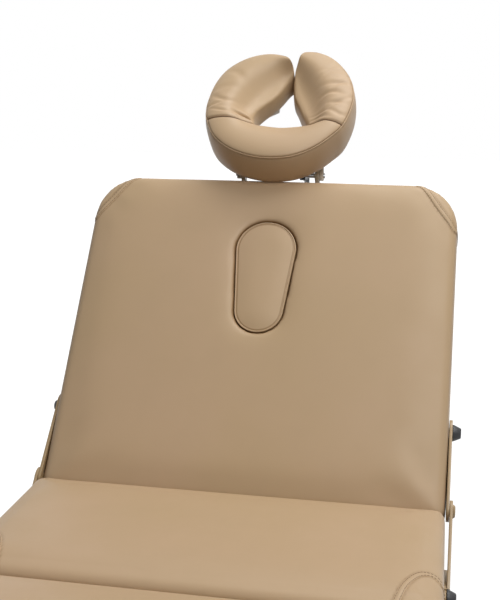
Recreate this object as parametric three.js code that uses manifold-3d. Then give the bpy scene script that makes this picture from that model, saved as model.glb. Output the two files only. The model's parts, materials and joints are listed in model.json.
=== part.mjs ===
// Facial treatment bed: three padded sections on a foot-pumped hydraulic column, with a reclining
// backrest, a dropping leg rest, a breathing-hole plug and a sliding, tilting face cradle.
// Units are millimetres. +X is across the bed, +Y towards the head, +Z up. The pieces are placed
// about the top of the seat's rear edge, and the whole bed is moved at the end so that its origin
// lies on the floor under the middle of its box.
import * as THREE from 'three';
import { mergeVertices } from 'three/addons/utils/BufferGeometryUtils.js';
import Module from 'manifold-3d';

const wasm = await Module();
wasm.setup();

// ---- Driving dimensions ----------------------------------------------------------------------

// Clearances
const touch = 0.3;            // between pieces that are fixed face to face
const running = 0.3;          // radial, between a pin and its hole
const sideRun = 0.6;          // between plates that turn beside each other
const padSide = 1.5;          // between a pad's side and the steel arm beside it
const weld = 1;               // how far a welded plate runs into what it is welded to
const past = 1;               // how far a cutting tool runs past the face it cuts

// Padded sections
const bedWidth = 700;
const foamDepth = 75;
const boardDepth = 15;
const coverWall = 1.5;
const padEdge = 12;           // rounding of the pads' long edges
const seatLength = 335;
const backLength = 630;
const legLength = 620;
const seatLegGap = 8;
const squareCorner = 16;      // plan radius of the plain corners
const footCorner = 64;        // plan radius of the leg rest's outer corners
const headCorner = 88;        // plan radius of the backrest's upper corners

// Backrest hinge
const backAngle = 53.5;       // rest angle above flat
const hingeDepth = 22;        // axis below the pads' top
const hingeSetback = 30;      // axis behind the seat's rear edge
const backOverhang = 20;      // backrest pad in front of its axis
const armWall = 5;
const armLength = 164;        // from the hinge axis to the arm's tip
const armTipDepth = 46;       // the arm's tip below the pad's top
const armDepth = 26;          // the arm's long edge below the pad's top
const armEndRadius = 18;
const hingePinRadius = 8;
const hingeHeadRadius = 12;
const hingeHead = 4;
const earRoot = [-76, -12];   // where the hinge ear is welded on, before the seat's rear edge
const earRootDepth = 24;

// Leg rest hinge
const legPivotDrop = 15;      // axis below the boards
const legOverhang = 17;       // leg pad behind its axis
const legShaftRadius = 8;
const legEarRadius = 13;
const legEarWall = 6;
const legEarRoot = 40;        // length of the welded root on the seat rail
const legRailInset = 4;       // leg rails inside the seat rails' outer faces

// Steel tube frames under the boards
const tube = 40;
const tubeWall = 2;
const railInset = 10;         // outer face of the rails inside the pads' edge

// Gas springs: pin radius, eye radius and eye width are shared
const springPin = 5;
const springEye = 11;
const springEyeWidth = 14;
const lugWall = 5;
const lugRim = 2;             // steel round an eye, outside the spring's own
const pinProud = 3;           // how far a pin stands out of the plate it goes through
const backSpring = { body: 14, bore: 5.5, bodyEnd: 234, boreStart: 44, rod: 5, rodStart: 170 };
const legSpring = { body: 11, bore: 4.5, bodyEnd: 168, boreStart: 76, rod: 4, rodStart: 144 };

// Breathing hole and its plug (two round ends joined by tangents)
const plugHeadRadius = 60;
const plugFootRadius = 46;
const plugHeadAt = 459;       // from the hinge axis along the backrest
const plugFootAt = 336;
const plugClearance = 0.6;
const plugFoam = 60;
const plugEdge = 8;
const plugBoardInset = 3;

// Face cradle
const postRadius = 8;
const postSpacing = 194;
const socketRadius = 12;
const socketLength = 125;
const cradleHingeReach = 43;  // tilt axis beyond the backrest pad's end
const cradleHingeDepth = 56;  // tilt axis below the pads' top
const cradleTilt = 14;        // flatter than the backrest at rest
const cushionHalfWidth = 142;
const cushionHalfLength = 150;
const cushionDepth = 74;
const cushionEdge = 12;
const cushionBand = 88;       // from the closed end to the face hole
const faceHoleRadius = 50;
const faceHoleFlare = 0.9;    // how much the hole widens for each millimetre of inset
const armGap = 3.5;
const armGapLength = 70;
const platformDepth = 12;
const platformInset = 22;
const platformGap = 40;       // between the platform's two arms
const cradleLugAt = 70;       // inner face of the slide frame's lugs
const cradleLugWall = 8;
const cradleEyeRadius = 11;
const cushionRise = 37;       // cushion's underside above the tilt axis
const cushionBack = 57;       // cushion's closed end in front of the tilt axis

// Column and base
const seatHeight = 640;       // seat top above the floor at the lowest setting
const columnAt = -150;
const ramRadius = 26;
const housingRadius = 60;
const housingHeight = 300;
const ramFloor = 36;          // bottom of the housing's bore above its foot
const ramRest = 4;            // oil space left under the ram at the lowest setting
const coverAir = 2.5;          // between the pump and its sheet cover
const coverSheet = 2.5;
const coverHeight = 310;
const shroudWall = 3;
const shroudClearance = 3.5;
const shroudHeight = 330;
const headPlate = 10;
const headWidth = 300;
const footHeight = 20;
const footRadius = 24;
const footTube = 30;
const footTubeWidth = 60;
const footSpan = 560;
const footReach = 400;        // cross feet before and behind the column
const footInset = 6;          // rubber feet inside the ends of the cross feet
const spineWidth = 80;
const basePlate = 8;

// Pedal and pump plunger
const cheekHalf = 16;         // the pedal's cheek plates at their feet
const cheekRadius = 12;
const basePlateRim = 2;       // base plate outside the cheek plates
const pedalPivotRise = 31;    // axis above the base plate
const pedalNoseReach = 42;    // nose to axis
const pedalNoseRadius = 8;
const pedalReach = 208;       // axis to the tread's outer end
const pedalWidth = 28;
const treadLength = 86;
const treadWidth = 76;
const treadWall = 5;
const treadPad = 9;
const plungerRadius = 6;
const plungerLength = 56;
const plungerSide = 10;       // wall of the plunger's guide, and its distance off the housing
const plungerGuide = [24, 78];// the guide block above the plunger's foot

// Clamp knobs
const knobRoot = 14.5;
const knobTip = 9.5;
const knobLength = 15;
const studRadius = 4;
const bossRadius = 12;
const seatStud = 12;
const backKnobReach = 146;      // along the backrest from its hinge axis
const backKnobDepth = 60;       // below the pad's top
const seatKnobSetback = 100;    // in front of the seat's rear edge

// ---- Derived places --------------------------------------------------------------------------

const sectionDepth = foamDepth + boardDepth;
const halfWidth = bedWidth / 2;
const railTop = -sectionDepth - touch;
const railBottom = railTop - tube;
const railOuter = halfWidth - railInset;
const railInner = railOuter - tube;
const armInner = halfWidth + padSide;
const armOuter = armInner + armWall;
const earInner = armOuter + sideRun;
const earOuter = earInner + armWall;
const railMiddle = (railTop + railBottom) / 2;
const seatKnobAt = [-seatKnobSetback, railMiddle];
const legPivotDepth = sectionDepth + legPivotDrop;
const seatFront = -seatLength;
const legPivotY = seatFront - seatLegGap - legOverhang;
const floorZ = -seatHeight;
const holeSize = springPin + running;

// ---- Solids ----------------------------------------------------------------------------------

const X = new THREE.Vector3(1, 0, 0);
const Y = new THREE.Vector3(0, 1, 0);
const Z = new THREE.Vector3(0, 0, 1);
const ROUND = 14;              // facets round a bar

function solidOf(geometry) {
  const bare = geometry.clone();
  bare.deleteAttribute('normal');
  bare.deleteAttribute('uv');
  const merged = mergeVertices(bare, 1e-3);
  return new wasm.Manifold(new wasm.Mesh({
    numProp: 3,
    vertProperties: new Float32Array(merged.getAttribute('position').array),
    triVerts: new Uint32Array(merged.getIndex().array),
  }));
}

function geometryOf(solid) {
  const mesh = solid.getMesh();
  const geometry = new THREE.BufferGeometry();
  geometry.setAttribute('position', new THREE.BufferAttribute(mesh.vertProperties, 3));
  geometry.setIndex(new THREE.BufferAttribute(mesh.triVerts, 1));
  geometry.computeVertexNormals();
  return geometry;
}

function join(first, ...rest) {
  let solid = solidOf(first);
  for (const geometry of rest) solid = solid.add(solidOf(geometry));
  return geometryOf(solid);
}

function cut(first, ...tools) {
  let solid = solidOf(first);
  for (const geometry of tools) solid = solid.subtract(solidOf(geometry));
  return geometryOf(solid);
}

// A box between two values on each axis, given in either order.
function box([xa, xb], [ya, yb], [za, zb]) {
  const geometry = new THREE.BoxGeometry(Math.abs(xb - xa), Math.abs(yb - ya), Math.abs(zb - za));
  return geometry.translate((xa + xb) / 2, (ya + yb) / 2, (za + zb) / 2);
}

// A round bar along an axis, from a to b on it, about a point in the other two coordinates.
function bar(axis, radius, [a, b], [p, q], sides = ROUND) {
  const geometry = new THREE.CylinderGeometry(radius, radius, Math.abs(b - a), sides);
  if (axis === X) return geometry.rotateZ(-Math.PI / 2).translate((a + b) / 2, p, q);
  if (axis === Y) return geometry.translate(p, (a + b) / 2, q);
  return geometry.rotateX(Math.PI / 2).translate(p, q, (a + b) / 2);
}

// A turned piece: [radius, distance] points about +X, starting and ending on the axis.
function turned(points) {
  const profile = points.map(([radius, along]) => new THREE.Vector2(radius, along));
  return new THREE.LatheGeometry(profile, ROUND).rotateZ(-Math.PI / 2);
}

// Extrudes a shape drawn in the Y-Z plane along X.
function plate(shape, [xa, xb]) {
  const geometry = new THREE.ExtrudeGeometry(shape, {
    depth: Math.abs(xb - xa), bevelEnabled: false, curveSegments: 8,
  });
  geometry.applyMatrix4(new THREE.Matrix4().makeBasis(Y, Z, X));
  return geometry.translate(Math.min(xa, xb), 0, 0);
}

// A rectangular steel tube along X or Y, open at both ends.
function tubeAlong(axis, [a, b], [pa, pb], [qa, qb]) {
  const wall = tubeWall;
  const inner = [[pa + wall, pb - wall], [qa + wall, qb - wall]];
  if (axis === X) {
    return cut(box([a, b], [pa, pb], [qa, qb]), box([a - past, b + past], ...inner));
  }
  return cut(box([pa, pb], [a, b], [qa, qb]), box(inner[0], [a - past, b + past], inner[1]));
}

// A lug's outline in the Y-Z plane: from `start` round the eye and back to `end`, then on
// through any further root points. The points run counter-clockwise.
function lugShape(start, eye, radius, end, ...roots) {
  const shape = new THREE.Shape();
  const angle = ([y, z]) => Math.atan2(z - eye[1], y - eye[0]);
  const spread = ([y, z]) => Math.acos(radius / Math.hypot(y - eye[0], z - eye[1]));
  shape.moveTo(...start);
  shape.absarc(...eye, radius, angle(start) + spread(start), angle(end) - spread(end), false);
  shape.lineTo(...end);
  for (const root of roots) shape.lineTo(...root);
  shape.closePath();
  return shape;
}

// A plan outline with round corners: radius `near` at the low-Y end and `far` at the high-Y end.
function padShape(half, y0, y1, near, far) {
  const shape = new THREE.Shape();
  shape.moveTo(-half + near, y0);
  shape.lineTo(half - near, y0);
  shape.absarc(half - near, y0 + near, near, -Math.PI / 2, 0, false);
  shape.absarc(half - far, y1 - far, far, 0, Math.PI / 2, false);
  shape.absarc(-half + far, y1 - far, far, Math.PI / 2, Math.PI, false);
  shape.absarc(-half + near, y0 + near, near, Math.PI, Math.PI * 1.5, false);
  return shape;
}

// The outline of the breathing hole and plug, grown by `extra`.
function plugOutline(path, extra) {
  const head = plugHeadRadius + extra;
  const foot = plugFootRadius + extra;
  const lean = Math.asin((head - foot) / (plugHeadAt - plugFootAt));
  path.absarc(0, plugHeadAt, head, -lean, Math.PI + lean, false);
  path.absarc(0, plugFootAt, foot, Math.PI + lean, 2 * Math.PI - lean, false);
  path.closePath();
  return path;
}

// Extrudes a plan outline upwards from z0 to z1, with its edges rounded.
function slab(shape, z0, z1, edge = 0, curveSegments = 4, bevelSegments = 1) {
  return new THREE.ExtrudeGeometry(shape, {
    depth: z1 - z0 - 2 * edge,
    bevelEnabled: edge > 0,
    bevelThickness: edge,
    bevelSize: edge,
    bevelOffset: -edge,
    bevelSegments,
    curveSegments,
  }).translate(0, 0, z0 + edge);
}

// ---- Materials and the tree ------------------------------------------------------------------

function material(color, roughness, metalness = 0) {
  return new THREE.MeshStandardMaterial({ color, roughness, metalness });
}

const vinyl = material(0xc9a585, 0.45);
const foam = material(0xf2e6c4, 0.95);
const plywood = material(0xc8a878, 0.8);
const cream = material(0xe9e1d2, 0.4, 0.2);
const steel = material(0xb8bcc0, 0.3, 1);
const chrome = material(0xdadde0, 0.12, 1);
const blackPlastic = material(0x1d1d1f, 0.5);
const rubber = material(0x262628, 0.85);
const darkPaint = material(0x3a3c40, 0.5, 0.4);

const bed = new THREE.Group();

function group(parent, [x, y, z], degreesAboutX = 0) {
  const made = new THREE.Group();
  made.position.set(x, y, z);
  made.rotation.x = THREE.MathUtils.degToRad(degreesAboutX);
  parent.add(made);
  return made;
}

function piece(parent, name, geometry, finish) {
  const mesh = new THREE.Mesh(geometry, finish);
  mesh.name = name;
  parent.add(mesh);
  return mesh;
}

const sides = [['left', -1], ['right', 1]];

// ---- Padded section: plywood board, foam block and the vinyl cover over both -------------------

// `reach` is the section's [low, high] Y and `top` its surface, in the parent's frame.
function paddedSection(parent, name, [y0, y1], top, corners, hole = false) {
  const inset = coverWall + touch;
  const [near, far] = corners;
  const bottom = top - sectionDepth;
  const seam = bottom + boardDepth;
  const facets = hole ? 6 : 3;
  const outline = (inward, holeExtra) => {
    const shape = padShape(halfWidth - inward, y0 + inward, y1 - inward,
      near - inward, far - inward);
    if (hole) shape.holes.push(plugOutline(new THREE.Path(), holeExtra));
    return shape;
  };
  const inside = outline(inset, plugClearance + inset);
  const hollow = outline(coverWall, plugClearance + coverWall);
  const outside = outline(0, plugClearance);
  const wide = halfWidth + past;
  const shell = cut(
    slab(outside, bottom - padEdge, top, padEdge, facets, 2),
    slab(hollow, bottom - 2 * padEdge, top - coverWall, padEdge - coverWall, facets),
    box([-wide, wide], [y0 - past, y1 + past], [bottom - padEdge - past, bottom]),
  );
  piece(parent, `${name}_cover`, shell, vinyl);
  piece(parent, `${name}_foam`,
    slab(inside, seam + touch, top - inset, padEdge - inset, facets), foam);
  piece(parent, `${name}_board`, slab(inside, bottom + touch, seam, 0, facets), plywood);
}

// ---- Clamp knob on a threaded stud, along +X or -X from a face at x -----------------------------

function knobSolid(studLength) {
  const rim = 2;
  const chamfer = 1.5;
  return turned([
    [0, -studLength], [studRadius, -studLength], [studRadius, 0], [knobRoot, 0],
    [knobRoot, rim], [knobTip, knobLength - chamfer], [knobTip - chamfer, knobLength],
    [0, knobLength],
  ]);
}

function clampKnob(parent, name, side, x, [y, z], studLength) {
  const mesh = piece(parent, name, knobSolid(studLength), blackPlastic);
  mesh.position.set(side * x, y, z);
  mesh.rotation.z = side < 0 ? Math.PI : 0;
}

// ---- Gas spring, drawn along +Y of a group at its lower eye -------------------------------------

function gasSpring(parent, name, from, to, { body, bore, bodyEnd, boreStart, rod, rodStart }) {
  const along = [to[0] - from[0], to[1] - from[1]];
  const span = Math.hypot(...along);
  const angle = THREE.MathUtils.radToDeg(Math.atan2(along[1], along[0]));
  const place = group(parent, [0, ...from], angle);
  const half = springEyeWidth / 2;
  const neck = [springEye - 4, springEye + 12];
  const bodyStart = springEye + 8;
  const shell = join(
    bar(X, springEye, [-half, half], [0, 0]),
    bar(Y, half, neck, [0, 0]),
    bar(Y, body, [bodyStart, bodyEnd], [0, 0]),
  );
  piece(place, `${name}_cylinder`, cut(
    shell,
    bar(X, holeSize, [-half - past, half + past], [0, 0]),
    bar(Y, bore, [boreStart, bodyEnd + past], [0, 0]),
  ), blackPlastic);
  const pinHalf = half + lugWall + pinProud;
  const rodSink = 3;
  piece(place, `${name}_rod`, join(
    bar(Y, rod, [rodStart, span - rodSink], [0, 0]),
    bar(X, springEye, [-half, half], [span, 0]),
    bar(X, springPin, [-pinHalf, pinHalf], [span, 0]),
  ), chrome);
}

// Two lug plates either side of a spring's eye.
function lugPair(shape) {
  const inner = springEyeWidth / 2 + sideRun;
  return [1, -1].map((side) => plate(shape, [side * inner, side * (inner + lugWall)]));
}

function clevisPin([y, z]) {
  const reach = springEyeWidth / 2 + sideRun + lugWall;
  return bar(X, springPin, [-reach, reach], [y, z]);
}

// ---- Base, pump and pedal -----------------------------------------------------------------------

const footTop = floorZ + footHeight;
const footTubeZ = [footTop + touch, footTop + touch + footTube];
const spineZ = [footTubeZ[1] + touch, footTubeZ[1] + touch + tube];
const basePlateZ = [spineZ[1] + touch, spineZ[1] + touch + basePlate];
const columnFoot = basePlateZ[1] + touch;
const pedalPivotZ = basePlateZ[1] + pedalPivotRise;
const plungerFoot = pedalPivotZ + pedalNoseRadius + touch;
const plungerAt = housingRadius + plungerSide;
const pedalPivotReach = plungerAt + pedalNoseReach;
const coverWidth = 2 * (plungerAt + plungerSide + coverAir + coverSheet);

function rubberFeet() {
  const lip = 6;
  const taper = 4;
  const profile = [[0, 0], [footRadius, 0], [footRadius, lip], [footRadius - taper, footHeight],
    [0, footHeight]].map(([radius, z]) => new THREE.Vector2(radius, z));
  for (const [where, y] of [['front', columnAt - footReach], ['rear', columnAt + footReach]]) {
    for (const [hand, side] of sides) {
      const x = side * (footSpan / 2 - footRadius - footInset);
      const foot = new THREE.LatheGeometry(profile, ROUND).rotateX(Math.PI / 2);
      piece(bed, `rubber_foot_${where}_${hand}`, foot.translate(x, y, floorZ), rubber);
    }
    piece(bed, `base_foot_${where}`, tubeAlong(X, [-footSpan / 2, footSpan / 2],
      [y - footTubeWidth / 2, y + footTubeWidth / 2], footTubeZ), cream);
  }
}

// The plate under the column, with two cheeks that carry the pedal's pin.
function pumpBase() {
  const reach = footReach + footTubeWidth / 2;
  piece(bed, 'base_spine', tubeAlong(Y, [columnAt - reach, columnAt + reach],
    [-spineWidth / 2, spineWidth / 2], spineZ), cream);
  const cheekFoot = basePlateZ[1] - weld;
  const cheek = lugShape([pedalPivotReach + cheekHalf, cheekFoot],
    [pedalPivotReach, pedalPivotZ], cheekRadius, [pedalPivotReach - cheekHalf, cheekFoot]);
  const standing = new THREE.Matrix4().makeBasis(X, Z, Y.clone().negate());
  const cheekInner = pedalWidth / 2 + touch;
  const cheeks = [1, -1].map((side) => {
    const geometry = new THREE.ExtrudeGeometry(cheek, {
      depth: armWall, bevelEnabled: false, curveSegments: 8,
    });
    geometry.applyMatrix4(standing);
    const y = side > 0 ? cheekInner + armWall : -cheekInner;
    return geometry.translate(0, columnAt + y, 0);
  });
  const half = pedalPivotReach + cheekHalf + basePlateRim;
  const plateAndCheeks = join(
    box([-half, half], [columnAt - half, columnAt + half], basePlateZ), ...cheeks,
  );
  const pinReach = cheekInner + armWall + pinProud;
  const pinSpan = [columnAt - pinReach, columnAt + pinReach];
  const pinPlace = [pedalPivotReach, pedalPivotZ];
  piece(bed, 'base_plate', cut(plateAndCheeks, bar(Y, holeSize, pinSpan, pinPlace)), cream);
  piece(bed, 'pedal_pin', bar(Y, springPin, pinSpan, pinPlace), steel);
}

function pumpHousing() {
  const top = columnFoot + housingHeight;
  const guideZ = plungerGuide.map((z) => plungerFoot + z);
  const guideSink = 16;
  const guideWall = 7;
  const guideCap = 5;
  const guideHalf = plungerRadius + guideWall;
  const housing = join(
    bar(Z, housingRadius, [columnFoot, top], [0, columnAt], 32),
    box([housingRadius - guideSink, plungerAt + plungerSide],
      [columnAt - guideHalf, columnAt + guideHalf], guideZ),
  );
  piece(bed, 'pump_housing', cut(
    housing,
    bar(Z, ramRadius + running, [columnFoot + ramFloor, top + past], [0, columnAt], 32),
    bar(Z, plungerRadius + running, [guideZ[0] - past, guideZ[1] - guideCap],
      [plungerAt, columnAt]),
  ), darkPaint);
  piece(bed, 'pump_plunger',
    bar(Z, plungerRadius, [plungerFoot, plungerFoot + plungerLength], [plungerAt, columnAt]),
    steel);
}

function columnCover() {
  const outer = coverWidth / 2;
  const inner = outer - coverSheet;
  const z = [columnFoot, columnFoot + coverHeight];
  const span = (half) => [columnAt - half, columnAt + half];
  const pedalRoom = 2;
  const pedalDip = 12;
  const pedalLift = 20;
  const slot = box([inner - past, outer + past], span(pedalWidth / 2 + pedalRoom),
    [pedalPivotZ - pedalDip, pedalPivotZ + pedalLift]);
  piece(bed, 'column_cover', cut(
    box([-outer, outer], span(outer), z),
    box([-inner, inner], span(inner), [z[0] - past, z[1] + past]),
    slot,
  ), cream);
}

function pedal() {
  const pivot = group(bed, [pedalPivotReach, columnAt, pedalPivotZ]);
  const width = [-pedalWidth / 2, pedalWidth / 2];
  const halfBar = 5;
  const hubWall = 6;
  const tread = [pedalReach - treadLength, pedalReach];
  const treadTop = treadWall - halfBar;
  const lever = join(
    box([-pedalNoseReach, tread[0] + pedalNoseRadius], width, [-halfBar, halfBar]),
    bar(Y, pedalNoseRadius, width, [-pedalNoseReach, 0]),
    bar(Y, springPin + hubWall, width, [0, 0]),
    box(tread, [-treadWidth / 2, treadWidth / 2], [-halfBar, treadTop]),
  );
  piece(pivot, 'pump_pedal', cut(lever,
    bar(Y, holeSize, [width[0] - past, width[1] + past], [0, 0])), steel);
  const rim = 2;
  const padCorner = 8;
  const padFoot = treadTop + touch;
  const barEnd = tread[0] + pedalNoseRadius + rim;
  const pad = padShape(treadWidth / 2 - rim, barEnd, tread[1] - rim, padCorner, padCorner);
  const geometry = slab(pad, padFoot, padFoot + treadPad, rim).rotateZ(-Math.PI / 2);
  piece(pivot, 'pedal_pad', geometry, rubber);
}

// ---- Lift: ram, head, shroud and the seat on it ---------------------------------------------------

const headZ = [railBottom - touch - headPlate, railBottom - touch];
const seatCrossRear = 25;      // rear cross tube in front of the seat's rear edge
const seatCrossFront = 50;     // front cross tube behind the seat's front edge
const seatRearCrossY = [-tube - seatCrossRear, -seatCrossRear];
const seatFrontCrossY = [seatFront + seatCrossFront, seatFront + seatCrossFront + tube];
const backSpringFrom = [50, railBottom - 29.7];
const legSpringFrom = [legPivotY + 45, -legPivotDepth - 60];

function lift() {
  piece(bed, 'lift_ram',
    bar(Z, ramRadius, [columnFoot + ramFloor + ramRest, headZ[0] - touch], [0, columnAt], 32),
    chrome);
  piece(bed, 'lift_head', box([-headWidth / 2, headWidth / 2],
    [seatFrontCrossY[0] + 18, seatRearCrossY[1] - 4], headZ), darkPaint);
  const inner = coverWidth / 2 + shroudClearance;
  const outer = inner + shroudWall;
  const top = headZ[0] - touch;
  const span = (half) => [columnAt - half, columnAt + half];
  piece(bed, 'upper_shroud', cut(
    box([-outer, outer], span(outer), [top - shroudHeight, top]),
    box([-inner, inner], span(inner), [top - shroudHeight - past, top + past]),
  ), cream);
}

// A seat rail with its welded ears: the backrest's beside the pad, the leg rest's at the front,
// and a threaded boss for the side knob.
function seatRail(side) {
  const x = (a, b) => [side * a, side * b];
  const railY = [seatFront + 5, -5];
  const rail = side > 0
    ? tubeAlong(Y, railY, [railInner, railOuter], [railBottom, railTop])
    : tubeAlong(Y, railY, [-railOuter, -railInner], [railBottom, railTop]);
  const root = [railBottom + 2, railBottom + 2 + earRootDepth];
  const hinge = [hingeSetback, -hingeDepth];
  const earShape = lugShape([earRoot[1], root[0]], hinge, armEndRadius,
    [earRoot[0], root[1] - 2], [earRoot[0], root[0]]);
  const legRoot = seatFront + legEarRoot;
  const legAxis = [legPivotY, -legPivotDepth];
  const frontShape = lugShape([legRoot, railTop - 3], legAxis, legEarRadius,
    [legRoot, railBottom + 3]);
  const face = railOuter - weld;
  const welded = join(
    rail,
    box(x(face, earInner + weld), earRoot, [root[0], root[1] - 2]),
    plate(earShape, x(earInner, earOuter)),
    plate(frontShape, x(face, face + legEarWall)),
    bar(X, bossRadius, x(face, armOuter), seatKnobAt),
  );
  return cut(
    welded,
    bar(X, hingePinRadius + running, x(earInner - 2, earOuter + 2), hinge),
    bar(X, legShaftRadius + running, x(railOuter - 4, railOuter + legEarWall + 2), legAxis),
    bar(X, studRadius + running, x(railOuter + 1, armOuter + 1), seatKnobAt),
  );
}

// A hinge pin along +X from the arm's inner face, with its head outside the ear.
function hingePin() {
  const shank = earOuter + touch - armInner;
  const chamfer = 3;
  return turned([
    [0, 0], [hingePinRadius, 0], [hingePinRadius, shank], [hingeHeadRadius, shank],
    [hingeHeadRadius - chamfer, shank + hingeHead], [0, shank + hingeHead],
  ]);
}

function seat() {
  for (const [hand, side] of sides) {
    piece(bed, `seat_rail_${hand}`, seatRail(side), cream);
    const pin = hingePin();
    if (side < 0) pin.rotateZ(Math.PI);
    pin.translate(side * armInner, hingeSetback, -hingeDepth);
    piece(bed, `hinge_pin_${hand}`, pin, steel);
    clampKnob(bed, `seat_knob_${hand}`, side, armOuter + touch, seatKnobAt, seatStud);
  }
  const cross = (y) => tubeAlong(X, [-railInner + touch, railInner - touch], y,
    [railBottom, railTop]);
  const lugFoot = railBottom + weld;
  const lugTop = railTop - 5;
  const frontFace = seatFrontCrossY[0] + weld;
  const frontLug = lugShape([frontFace, lugTop], legSpringFrom, springEye + lugRim,
    [frontFace + 14, lugFoot], [frontFace, lugFoot]);
  piece(bed, 'seat_cross_front',
    join(cross(seatFrontCrossY), ...lugPair(frontLug), clevisPin(legSpringFrom)), cream);
  const rearFace = seatRearCrossY[1] - weld;
  const rearLug = lugShape([rearFace - lugRim, lugFoot], backSpringFrom,
    springEye + lugRim + 1, [rearFace, lugTop], [rearFace, lugFoot]);
  piece(bed, 'seat_cross_rear',
    join(cross(seatRearCrossY), ...lugPair(rearLug), clevisPin(backSpringFrom)), cream);
  const shaftReach = railOuter + legEarWall + pinProud;
  piece(bed, 'leg_pivot_shaft', bar(X, legShaftRadius, [-shaftReach, shaftReach],
    [legPivotY, -legPivotDepth]), steel);
  paddedSection(bed, 'seat', [seatFront, 0], 0, [squareCorner, squareCorner]);
}

// ---- Release lever: a flat handle on a stub through a rail's outer wall -------------------------

function releaseLever(parent, name, x, [y, z]) {
  const length = 118;
  const grip = 55;
  const wall = 6;
  const half = 7;
  const hub = 11;
  const edge = 3;
  const lever = join(
    bar(X, hub, [0, wall], [0, 0]),
    box([0, wall], [0, length - grip + 5], [-half, half]),
    slab(padShape(5, length - grip, length, 4, 4), -hub, hub, edge, 1).translate(wall, 0, 0),
    bar(X, springPin, [-10, weld], [0, 0]),
  );
  const mesh = piece(parent, name, lever, blackPlastic);
  mesh.position.set(x + touch, y, z);
}

// ---- Backrest ---------------------------------------------------------------------------------------

const backTop = hingeDepth;
const backRailTop = backTop + railTop;
const backRailBottom = backTop + railBottom;
const backEnd = backLength - backOverhang;
const backRailStart = 12;
const backRailEnd = backEnd - headCorner / 2;  // within the round upper corners
const backCrossUpperY = [backRailEnd - tube, backRailEnd];
const backKnobAt = [backKnobReach, backTop - backKnobDepth];
const backSpringTo = [270, backRailBottom - 36.7]; // on the backrest, from its hinge axis
const backWindow = { y: [-1.5, 8.4], z: [-5.5, 10.4] }; // the rod pin's path in the lug
const backCrossLowerY = [backSpringTo[0] - tube / 2, backSpringTo[0] + tube / 2];
const postZ = backRailTop - touch - socketRadius;
const socketSetback = 15;
const socketY = [backEnd - socketSetback - socketLength, backEnd - socketSetback];
const clampSetback = 28;
const clampAt = backCrossUpperY[0] - clampSetback;
const releaseAt = [400, backRailTop - tube / 2];

// A window cut through both lug plates: the pin's path widened by the pin and its clearance.
function lugWindow([y, z], path) {
  const reach = springEyeWidth / 2 + lugWall + sideRun + past;
  const grow = springPin + 2 * running;
  return box([-reach, reach], [y + path.y[0] - grow, y + path.y[1] + grow],
    [z + path.z[0] - grow, z + path.z[1] + grow]);
}

// A side arm of the backrest: a plate from the hinge, welded to a bar along the rail.
function backArm(side) {
  const x = (a, b) => [side * a, side * b];
  const tip = [armLength, backTop - armTipDepth];
  const foot = backRailBottom + 4;
  const heel = 36;
  const shoulder = backTop - armDepth;
  const shape = new THREE.Shape();
  shape.moveTo(heel, foot);
  shape.lineTo(tip[0] - 12, foot);
  shape.lineTo(tip[0], foot + 26);
  shape.lineTo(...tip);
  shape.quadraticCurveTo(tip[0] - 1, shoulder, tip[0] - 26, shoulder + 2);
  shape.lineTo(0, armEndRadius);
  shape.absarc(0, 0, armEndRadius, Math.PI / 2, Math.PI * 1.17, false);
  shape.closePath();
  const hole = x(armInner - 2, armOuter + 2);
  return cut(
    join(
      plate(shape, x(armInner, armOuter)),
      box(x(railOuter + touch, armInner + weld), [heel + 8, armLength - 16],
        [backRailBottom + 5, backRailTop - 5]),
    ),
    bar(X, hingePinRadius + running, hole, [0, 0]),
    bar(X, studRadius + running, hole, backKnobAt),
  );
}

// The upper cross tube with the two sockets that the cradle's posts slide in. Inside the tube
// each socket is a sleeve that runs a little into both of the tube's walls.
function backCrossUpper() {
  const span = [-railInner + touch, railInner - touch];
  const places = [-postSpacing / 2, postSpacing / 2];
  const bore = postRadius + running;
  const tubeHollow = [backCrossUpperY[0] + tubeWall, backCrossUpperY[1] - tubeWall];
  const sleeveY = [tubeHollow[0] - weld, tubeHollow[1] + weld];
  const walls = cut(
    join(
      box(span, backCrossUpperY, [backRailBottom, backRailTop]),
      ...places.map((x) => bar(Y, socketRadius, socketY, [x, postZ])),
    ),
    box([span[0] - past, span[1] + past], tubeHollow,
      [backRailBottom + tubeWall, backRailTop - tubeWall]),
  );
  return cut(
    join(walls, ...places.map((x) => bar(Y, socketRadius, sleeveY, [x, postZ]))),
    ...places.map((x) => bar(Y, bore, [socketY[0] - past, socketY[1] + past], [x, postZ])),
    bar(Z, studRadius + running, [postZ - socketRadius - past, postZ],
      [postSpacing / 2, clampAt]),
  );
}

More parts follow.
